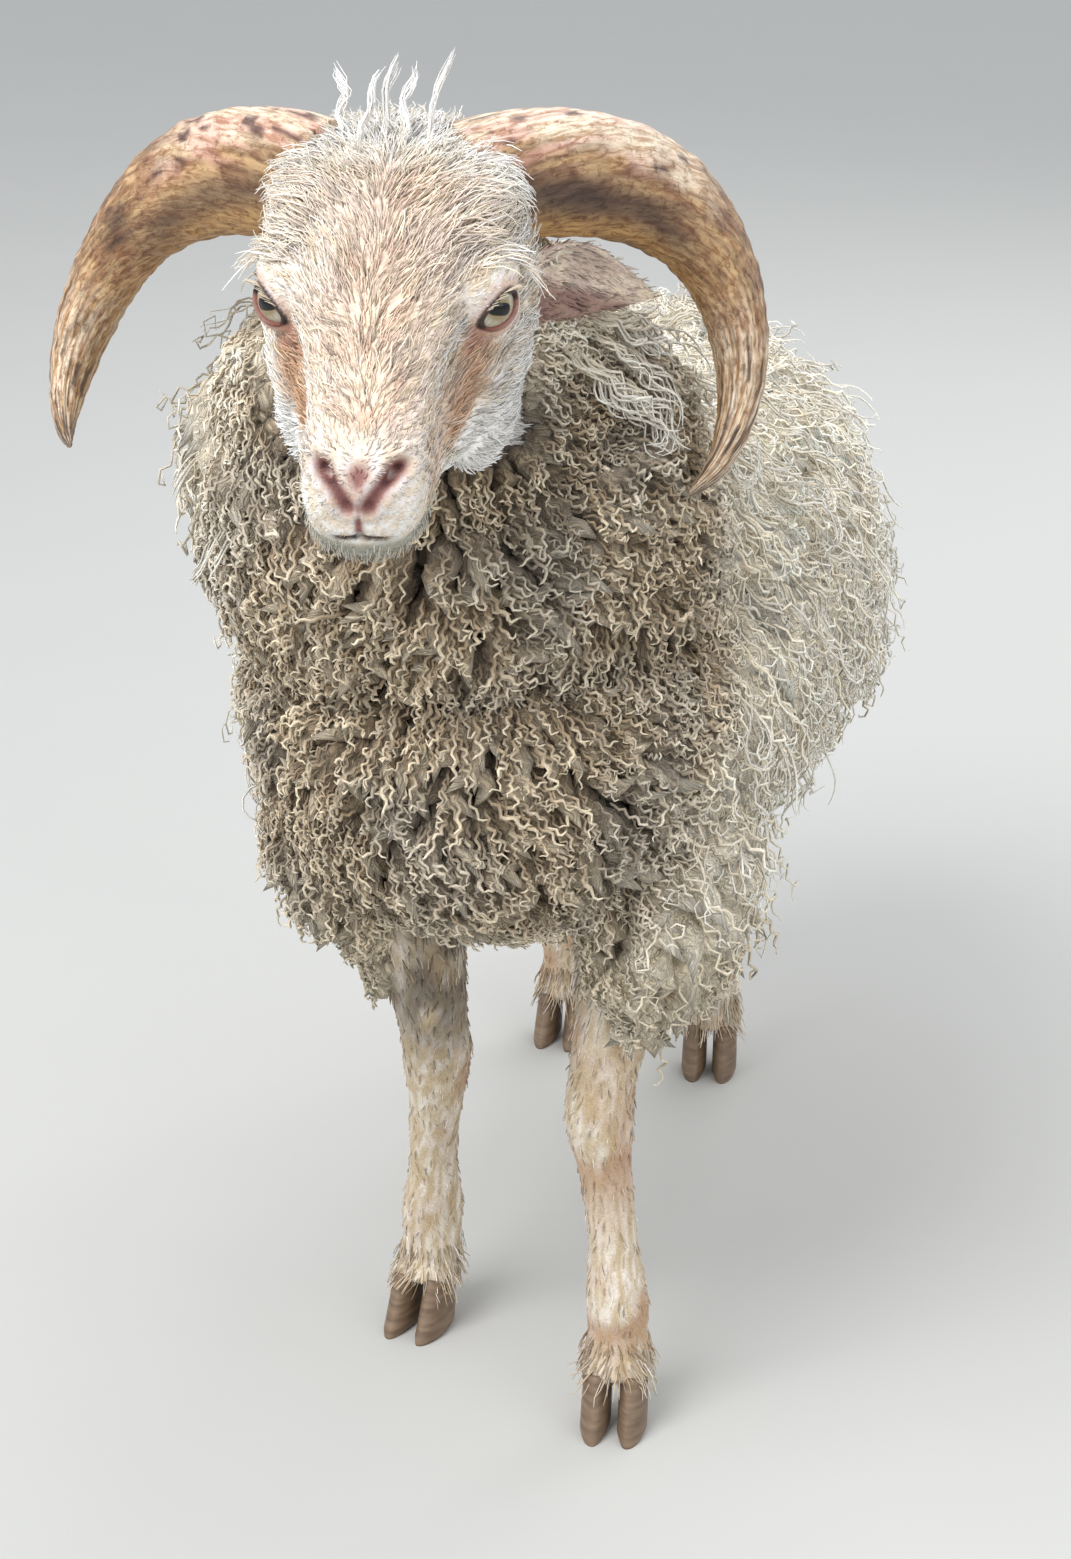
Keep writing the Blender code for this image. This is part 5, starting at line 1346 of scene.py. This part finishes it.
# Bunches of wool: a thick lump in the middle, which closes the coat, and crimped cords on it that curl at their tips
def bunches(name, mask, look, seed):
    chance = np.random.default_rng(seed)
    here = np.nonzero(mask)[0]
    kept = here[thinned(spots[here], look["spacing"])]
    kept = kept[spots[kept, 2] > .215]  # none on the legs
    centre, out = spots[kept], spotsOut[kept]
    total, cords = len(centre), look["cords"]
    lie = turned(woolLie(centre, out), out, (cloud(centre, .05, 11) - .5) * 1.5 + chance.normal(0, .30, total))
    bunchShade = chance.normal(0, .5, total)
    short = 1 - .55 * rise(-centre[:, 2], -.31, -.225)
    rough = .80 + .40 * cloud(centre, .028, 12)  # the coat's own swells and hollows
    first, last = look["lumpLean"]
    lump = {
        "length": chance.uniform(*look["lumpLength"], total) * short * rough,
        "leanRoot": np.radians(first), "leanTip": np.radians(last) * chance.uniform(.9, 1.1, total),
        "thick": look["lump"] * chance.uniform(.85, 1.15, total),
        "waveSize": look["lumpWave"] * chance.uniform(.7, 1.3, total), "waves": 2.2,
        "phase": chance.random(total) * 6.28, "hook": chance.normal(0, .5, total),
        "shade": np.clip(bunchShade - .2, -1.4, 1.2), "start": -.003,
        "profileAt": [0, .45, .75, .90], "profile": [.9, 1.05, .85, .48]}
    # the lumps lie deeper, so they take the wool's darker root colours: painted shade of the coat's depth
    coatPiece(name + "_lumps", centre, out, lie, lump, look["lumpPlaces"], lumpMaterial,
              lambda p, along, shade, root: woolColour(p, .26 + along * .62, shade, root), sides=6,
              clear=lambda p: clearOfHead(p, .0050))
    many = lambda v: np.repeat(v, cords, 0)
    side = np.cross(out, lie)
    count = total * cords
    angle = many(chance.random(total) * 6.28) + np.tile(np.arange(cords), total) * 6.28 / cords
    radius = look["spread"] * (.35 + .75 * chance.random(count))
    outs, lies = many(out), many(lie)
    root = (many(centre) + lies * (radius * np.cos(angle) + .004)[:, None]
            + many(side) * (radius * np.sin(angle))[:, None])
    vary = lambda each, own: 1 + many(chance.normal(0, each, total)) + chance.normal(0, own, count)
    lies = turned(lies, outs, chance.normal(0, .22, count))
    plan = {
        "length": many(chance.uniform(*look["length"], total) * short) * vary(0, .12),
        "start": look["start"] * chance.uniform(.80, 1.12, count) * many(short * rough),
        "leanRoot": np.radians(look["leanRoot"]) * vary(.08, .12),
        "leanTip": np.radians(look["leanTip"]) * vary(.03, .04),
        "thick": look["thick"] * vary(.08, .16), "waveSize": look["waveSize"] * vary(.15, .20),
        "waves": many(chance.uniform(*look["waves"], total)) * vary(0, .10),
        "phase": many(chance.random(total) * 6.28) + chance.normal(0, .9, count),
        "hook": np.radians(look["hook"]) * (many(chance.normal(0, .9, total)) + chance.normal(0, .7, count)),
        "shade": np.clip(many(bunchShade) + chance.normal(0, .45, count), -1.5, 1.5),
        "droop": .001, "profileAt": [0, .3, .7, .9, 1], "profile": [.8, 1.1, 1.05, .80, .45]}
    coatPiece(name, root, outs, lies, plan, look["places"], woolMaterial,
              lambda p, along, shade, root: woolColour(p, .45 + .55 * along, shade, root),
              clear=lambda p: clearOfHead(p, .0015))


faceSpots = headSpots(spots)
spotBehind, spotAside, spotUp = faceSpots[:, 0], np.abs(faceSpots[:, 1]), faceSpots[:, 2]
fleece = (spotFace < .3) & (spotLeg < .45) & (spotEar < .2)
collar = (spotBehind > -.06) & (spotBehind < .100) & (spotAside < .084) & (spotUp > -.112)
bunches("fleece_front", fleece & (spotChest >= .4) & ~collar, wool["front"], 31)
bunches("fleece_back", fleece & (spotChest < .4) & ~collar, wool["back"], 32)
bunches("fleece_collar", fleece & collar, wool["collar"], 33)


# Short hair on face, legs and ears, and how it lies there


def faceLie(points, outward):  # parted along the middle line, back and outwards
    b, o, u = headSpots(points).T
    back = np.where(b < -.088, .25, 1.0)
    parted = np.sign(o) * np.clip(np.abs(o) / .006, 0, 1)
    sideways = parted * np.interp(b, [-.1, -.06, 0, .03, .06], [.9, .50, .60, 1.0, .5])
    lift = np.interp(b, [-.11, -.09, .02], [-.6, 0, 0]) - .75 * rise(-u, .02, .05)
    return flatOn(-ahead * back[:, None] + across * sideways[:, None] + upward * lift[:, None], outward)


def templeLie(points, outward):  # outwards beside the horns and a little back
    return flatOn(across * np.sign(headSpots(points)[:, 1:2]) - ahead * .35 + up * .10, outward)


def crownLie(points, outward):  # away from the middle line and back
    return flatOn(across * headSpots(points)[:, 1:2] / .020 - ahead * .8, outward)


def napeLie(points, outward):
    return flatOn(-ahead + 0 * points, outward)


def legLie(points, outward):  # down and a little back
    return flatOn(np.array([0.0, .25, -1.0]) + 0 * points, outward)


def earLie(points, outward):  # from the ear's root to its tip
    left = headSpots(points)[:, 1:2] > 0
    return flatOn(np.where(left, earAxes(1)[1], earAxes(-1)[1]), outward)


def faceLength(root):  # longer from the nose back, shorter under the chin and round the eyes
    b, o, u = headSpots(root).T
    length = np.interp(b, [-.108, -.095, -.08, -.04, .0, .03, .06], [.0024, .0040, .0080, .0125, .0150, .0170, .0190])
    length = length * (1 - .25 * rise(-u, .03, .06))
    return np.minimum(length, np.interp(nearEyes(headSpots(root)), [.012, .017, .026], [.0028, .0040, .0190]))


def streakLength(root):
    return faceLength(root) * 1.25


def legLength(root):
    return np.interp(root[:, 2], [.03, .2, .26], [.0065, .0080, .016])


# Short hair: darker at the root as painted shade between the hairs, and lighter than the skin at the tip
def furColour(points, along, shade, root):  # the skin's colour under it, darker at the root
    base = np.repeat(skinTint(root)[:, None], points.shape[1], 1)
    return mix(base * .55, base * 1.10, rise(along, .0, .55)) * (1 + .24 * shade[..., None])


# Leans in degrees, the thickness in metres; hug leans long hair over further, stray lets patches of it swing aside
hair = {"leanRoot": 66, "leanTip": 92, "hug": 0, "thick": .00036, "stray": .9, "waveSize": .0002, "contrast": 1.0,
        "places": [0, .35, .7], "slot": "face"}
longHair = dict(hair, hug=900, waveSize=.0012, places=[0, .25, .5, .75, .92])


def fur(name, mask, spacing, lengthOf, lieOf, look, seed):  # lengthOf is a length or a function of the places
    chance = np.random.default_rng(seed)
    here = np.nonzero(mask)[0]
    kept = here[thinned(spots[here], spacing, 2)]
    root, out = spots[kept], spotsOut[kept]
    count = len(kept)
    length = lengthOf(root) if callable(lengthOf) else np.full(count, lengthOf)
    swing = (cloud(root, .009, 14) - .5) * look["stray"] + chance.normal(0, .16, count)
    lie = turned(lieOf(root, out), out, swing)
    plan = {
        "length": length * chance.uniform(.7, 1.25, count),
        "leanRoot": np.radians(look["leanRoot"]) * chance.uniform(.8, 1.12, count),
        "leanTip": np.radians(look["leanTip"] + look["hug"] * length) * chance.uniform(.95, 1.04, count),
        "thick": look["thick"] * chance.uniform(.65, 1.45, count),
        "waveSize": look["waveSize"], "waves": chance.uniform(.5, 1.2, count), "phase": chance.random(count) * 6.28,
        "hook": chance.normal(0, .35, count),
        "shade": np.clip(chance.normal(0, .7, count) * look["contrast"], -2.2, 2.2),
        "profileAt": [0, .4, 1], "profile": [1.0, 1.0, .35]}
    coatPiece(name, root - out * .0004, out, lie, plan, look["places"], furMaterial, furColour)


def lidRoom():  # distance of the spots to the nearer eye's lids
    angle = np.linspace(0, 6.283, 40)
    return np.minimum(*(lineDistance(spots, lidCurve(side, angle, .0128, 1)) for side in (1, -1)))


bareNose = np.minimum(lineDistance(bothSides(faceSpots), nose["nostril"]), lineDistance(faceSpots, nose["philtrum"]))
eyeRoom = nearEyes(faceSpots)
furry = (spotFace >= .3) & (bareNose > .0045) & (lidRoom() > .0032) & (spotEar < .5)
streaky = furry & (eyeRoom > .020) & (spotBehind > -.088)
temples = (spotFace >= .3) & (spotBehind > -.004) & (spotAside > .024) & (spotUp > -.012) & (eyeRoom > .021)
crown = (spotBehind > .020) & (spotBehind < .095) & (spotAside < .048) & (spotUp > .016) & (spotEar < .2)
hornRoots = ((spotBehind > -.002) & (spotBehind < .070) & (spotAside > .026) & (spotUp > .006) & (spotEar < .2)
             & (eyeRoom > .024))
nape = ((spotFace < .3) & (spotAside < .085) & (spotBehind > .02) & (spotBehind < .24)
        & (spotUp > .004 - 1.19 * (spotBehind - .05)) & (spotEar < .2))
shins = (spotLeg >= .45) & (spots[:, 2] > .026)
fringe = (spotLeg >= .45) & (spots[:, 2] > .030) & (spots[:, 2] < .048)
# name, where, room for each, length, lie, looks, seed
furRows = [
    ("face_hair", furry, .00141, faceLength, faceLie,
     dict(hair, leanRoot=78, hug=900, thick=.00027, waveSize=.0005), 41),
    ("face_streaks", streaky, .0033, streakLength, faceLie,
     dict(hair, leanRoot=80, hug=1150, thick=.00034, stray=1.0, waveSize=.0010, contrast=1.8,
          places=[0, .25, .5, .75]), 46),
    ("temple_hair", temples, .0027, .021, templeLie, dict(longHair, leanRoot=70, stray=1.0, waveSize=.0010), 44),
    ("poll_hair", crown, .0028, .022, crownLie, dict(longHair, leanRoot=84, hug=1250, thick=.00038, stray=1.4), 45),
    ("horn_root_hair", hornRoots, .0027, .022, templeLie, dict(longHair, stray=1.2), 48),
    ("nape_hair", nape, .0036, .017, napeLie, dict(longHair, thick=.00055, stray=2.0, waveSize=.0016), 47),
    ("leg_hair", shins, .0040, legLength, legLie,
     dict(hair, leanRoot=84, leanTip=91, slot="leg", contrast=1.7), 42),
    ("claw_fringe", fringe, .0028, .015, legLie,
     dict(hair, leanRoot=72, slot="leg", contrast=1.4, places=[0, .3, .6, .85]), 49),
    ("ear_hair", spotEar >= .5, .0024, .0085, earLie,
     dict(hair, leanRoot=76, leanTip=90, slot="ear", contrast=1.9), 43)]
for row in furRows:
    fur(*row)

# Single locks: long wavy ones beside the neck, loose rings on the flanks, wisps, the white locks of the poll


def strands(name, root, out, lie, look, seed, material, tinter, places, each=1, slot="wool"):
    chance = np.random.default_rng(seed)
    total = len(root)
    count = total * each
    many = lambda v: np.repeat(v, each, 0)
    angle = chance.random(count) * 6.28
    radius = look["spread"] * np.sqrt(chance.random(count))
    outs, lies = many(out), many(lie)
    root = (many(root) + lies * (radius * np.cos(angle))[:, None]
            + many(np.cross(out, lie)) * (radius * np.sin(angle))[:, None])
    vary = lambda whole, own: 1 + many(chance.normal(0, whole, total)) + chance.normal(0, own, count)
    plan = {
        "length": many(chance.uniform(*look["length"], total)) * vary(0, .08),
        "thick": look["thick"] * vary(.05, .15),
        "leanRoot": np.radians(look["leanRoot"]) * vary(.1, .08),
        "leanTip": np.radians(look["leanTip"]) * vary(.06, .05),
        "waveSize": look["waveSize"] * vary(.2, .15),
        "waves": many(chance.uniform(*look["waves"], total)) * vary(0, .05),
        "phase": many(chance.random(total) * 6.28) + chance.normal(0, .35, count),
        "hook": np.radians(look["hook"]) * (many(chance.normal(0, .8, total)) + chance.normal(0, .15, count)),
        "shade": np.clip(many(chance.normal(0, .4, total)) + chance.normal(0, .4, count), -1.4, 1.4),
        "droop": look.get("droop", 0.0), "profileAt": [0, .4, .8, 1], "profile": look.get("profile", [.8, 1.1, .8, .3])}
    clear = (lambda p: clearOfHead(p, .001)) if slot == "wool" else None
    coatPiece(name, root, outs, lies, plan, places, material, tinter, clear=clear)


# Colours of the single locks, all called with the same four values
# Cream locks, darker towards the root as painted shade where they go into the coat
def creamColour(points, along, shade, root):
    tint = mix(coatTones["flankMid"] * .66, coatTones["flankTip"] * .84, rise(along, .1, .8))
    return tint * (1 + .12 * shade[..., None])


# Near white, partly a painted highlight of the light on the poll, and a little darker at the root as painted shade
def whiteColour(points, along, shade, root):
    return np.clip(coatTones["white"] * (1 + .10 * shade[..., None]) * (.9 + .1 * along[..., None]), 0, 1)


def lashColour(points, along, shade, root):
    return np.broadcast_to(coatTones["cream"] * .92, points.shape)


# Whiskers: white mixed with the chin's painted shade
def whiskerColour(points, along, shade, root):
    return np.broadcast_to(mix(coatTones["chin"], coatTones["white"], np.array([.35])), points.shape)


def nearPlaces(middle, radius, count, seed):  # some spots of the coat round a middle
    inside = np.nonzero((np.linalg.norm(spots - middle, axis=1) < radius) & (spotFace < .2))[0]
    return np.random.default_rng(seed).choice(inside, min(count, len(inside)), replace=False)


# Locks that stand on the spots picked, lifted so far off the skin, hanging the way given
def hanging(name, pick, lift, way, look, seed, each):
    root, out = spots[pick] + spotsOut[pick] * lift, spotsOut[pick]
    strands(name, root, out, flatOn(np.array(way) + 0 * out, out), look, seed, woolMaterial, creamColour,
            curlPlaces, each)


locks = {
    "neck": {"length": (.028, .038), "leanRoot": 76, "leanTip": 96, "thick": .00070, "waveSize": .0034,
             "waves": (1.6, 2.4), "hook": 70, "spread": .0042, "droop": .002},
    "rings": {"length": (.040, .058), "leanRoot": 68, "leanTip": 96, "thick": .00066, "waveSize": .0044,
              "waves": (1.2, 2.1), "hook": 240, "spread": .0030},
    "wisps": {"length": (.024, .036), "leanRoot": 40, "leanTip": 72, "thick": .0006, "waveSize": .0014,
              "waves": (.6, 1.2), "hook": 30, "spread": .0035},
    "poll": {"leanRoot": 4, "leanTip": 22, "thick": .00046, "waveSize": .0020, "waves": (1.1, 1.7),
             "hook": 8, "spread": .0013, "profile": [1.1, 1.0, .55, .15]},
    "crest": {"length": (.007, .015), "leanRoot": 26, "leanTip": 70, "thick": .00022, "waveSize": .0012,
              "waves": (.8, 1.6), "hook": 40, "spread": .002},
    "lashes": {"length": (.0045, .0075), "leanRoot": 15, "leanTip": 60, "thick": .00018, "waveSize": .0002,
               "waves": (.5, 1.0), "hook": 12, "spread": .0004},
    "whiskers": {"length": (.0035, .0065), "leanRoot": 44, "leanTip": 66, "thick": .00024, "waveSize": .0002,
                 "waves": (.5, 1.0), "hook": 10, "spread": .0005},
    # behind, out, back, aside, length
    "pollRows": [(.052, -.014, .10, .26, .032), (.056, -.005, .16, .08, .035), (.050, .004, .06, .02, .031),
                 (.055, .014, .10, .22, .037), (.062, -.022, .30, -.10, .025)],
}
hanging("neck_long_locks", nearPlaces((.046, -.064, .556), .024, 13, 51), .018, (0, .35, -1.0), locks["neck"], 53, 6)

here = np.nonzero(fleece & (spotChest < .5))[0]
here = here[thinned(spots[here], .0230)]
here = here[(spots[here, 2] > .30) & (spots[here, 1] > -.035)]
ringRoot, ringOut = spots[here], spotsOut[here]
ringLie = turned(woolLie(ringRoot, ringOut), ringOut, (cloud(ringRoot, .03, 21) - .5) * 3)
strands("flank_rings", ringRoot + ringOut * .018, ringOut, ringLie, locks["rings"], 54, woolMaterial, creamColour,
        curlPlaces, 2)
hanging("neck_wisps", nearPlaces((-.112, -.070, .480), .040, 5, 55), .010, (-.3, .1, -.5), locks["wisps"], 56, 5)

for index, (behind, out, back, aside, length) in enumerate(locks["pollRows"]):
    top = float(headRings(np.array([behind]), 8)[1][0, 0, 1])
    outwards = unit(up + .35 * (across * aside - ahead * back))[None]
    lie = unit(across * (aside + .05) - ahead * (back + .1))[None]
    look = dict(locks["poll"], length=(length * .98, length * 1.08))
    strands(f"poll_lock_{index + 1}", inHead((behind, out, top - .003))[None], outwards, flatOn(lie, outwards), look,
            60 + index, furMaterial, whiteColour, [0, .15, .3, .45, .6, .74, .86, .95], 16, "face")

crest = np.nonzero((spotBehind > .030) & (spotBehind < .080) & (spotAside < .042) & (spotUp > .02))[0]
crest = crest[thinned(spots[crest], .0062)]
strands("poll_wisps", spots[crest], spotsOut[crest], crownLie(spots[crest], spotsOut[crest]), locks["crest"], 66,
        furMaterial, creamColour, [0, .2, .4, .6, .8, .93], 3, "face")


def lashes():  # along the upper lid, out and forward over the eye
    roots, outs, lies = [], [], []
    for side in (1, -1):
        gaze, along, over = eyeAxes(side)
        angle = np.radians(np.linspace(60, 172, 22))
        root = lidCurve(side, angle, head["eyeRadius"] + .0018, 4.0)
        roots.append(root)
        outs.append(unit(unit(root - eyeCentre(side)) + over * .55 - along * .35))
        lies.append(np.tile(-over * .5 + gaze * .4 - along * .8, (len(angle), 1)))
    root, out = np.concatenate(roots), np.concatenate(outs)
    strands("lashes", root, out, flatOn(np.concatenate(lies), out), locks["lashes"], 71, furMaterial, lashColour,
            [0, .3, .6, .85], 1, "face")


lashes()
chin = np.nonzero((spotFace > .5) & (spotBehind < -.085) & (spotUp < -.026))[0]
chin = chin[thinned(spots[chin], .0030)]
strands("chin_whiskers", spots[chin], spotsOut[chin], flatOn(level * .2 - up + 0 * spots[chin], spotsOut[chin]),
        locks["whiskers"], 72, furMaterial, whiskerColour, [0, .3, .6, .85], 1, "face")

# Studio: a pale floor, soft light from above and in front, and the camera

studio = {
    "floor": tone(196, 196, 193), "sky": (.93, .96, 1.0), "world": .80, "target": (0, 0, .4),
    # place, size and power
    "lamps": {"key": ((-.9, -1.5, 2.4), 1.6, 64.0), "fill": ((1.9, -1.2, 1.3), 1.8, 12.0),
              "rim": ((.6, 2.0, 1.9), 1.5, 22.0)},
}


def makeStudio():
    mesh = bpy.data.meshes.new("floor")
    mesh.from_pydata([(-7, -7, 0), (7, -7, 0), (7, 7, 0), (-7, 7, 0)], [], [(0, 1, 2, 3)])
    floor = bpy.data.objects.new("floor", mesh)
    bpy.context.scene.collection.objects.link(floor)
    kit = nodeMaterial("pale_floor", {"Roughness": .7})
    fine = kit.noise(kit.objectPlaces(), 6.0, 4.0)
    kit.feed("Base Color", kit.ramp(fine, 0, studio["floor"] * .97, 1, studio["floor"]))
    mesh.materials.append(kit.material)
    world = bpy.data.worlds.new("studio")
    bpy.context.scene.world = world
    world.use_nodes = True
    sky = world.node_tree.nodes["Background"].inputs
    sky["Color"].default_value = (*studio["sky"], 1)
    sky["Strength"].default_value = studio["world"]
    for name, (spot, size, power) in studio["lamps"].items():
        lamp = bpy.data.lights.new(name, "AREA")
        lamp.size, lamp.energy = size, power
        thing = bpy.data.objects.new(name, lamp)
        bpy.context.scene.collection.objects.link(thing)
        thing.location = spot
        aim = Vector(studio["target"]) - Vector(spot)
        thing.rotation_euler = aim.to_track_quat("-Z", "Y").to_euler()


# Place in metres and angles in degrees; the lens is 3400 dots for a long edge of 1559 dots on 36 mm
camera = {"spot": (0.30377, -1.48940, 0.914), "turn": 11.0, "down": 21.0, "lens": 3400 * 36 / 1559}


def makeCamera():
    lens = bpy.data.cameras.new("camera")
    lens.lens, lens.sensor_width, lens.clip_start = camera["lens"], 36.0, .05
    thing = bpy.data.objects.new("camera", lens)
    bpy.context.scene.collection.objects.link(thing)
    bpy.context.scene.camera = thing
    bpy.context.scene.view_settings.view_transform = "Standard"
    thing.location = np.array(camera["spot"]) + place
    thing.rotation_euler = (math.radians(90 - camera["down"]), 0, math.radians(camera["turn"]))


makeStudio()
makeCamera()
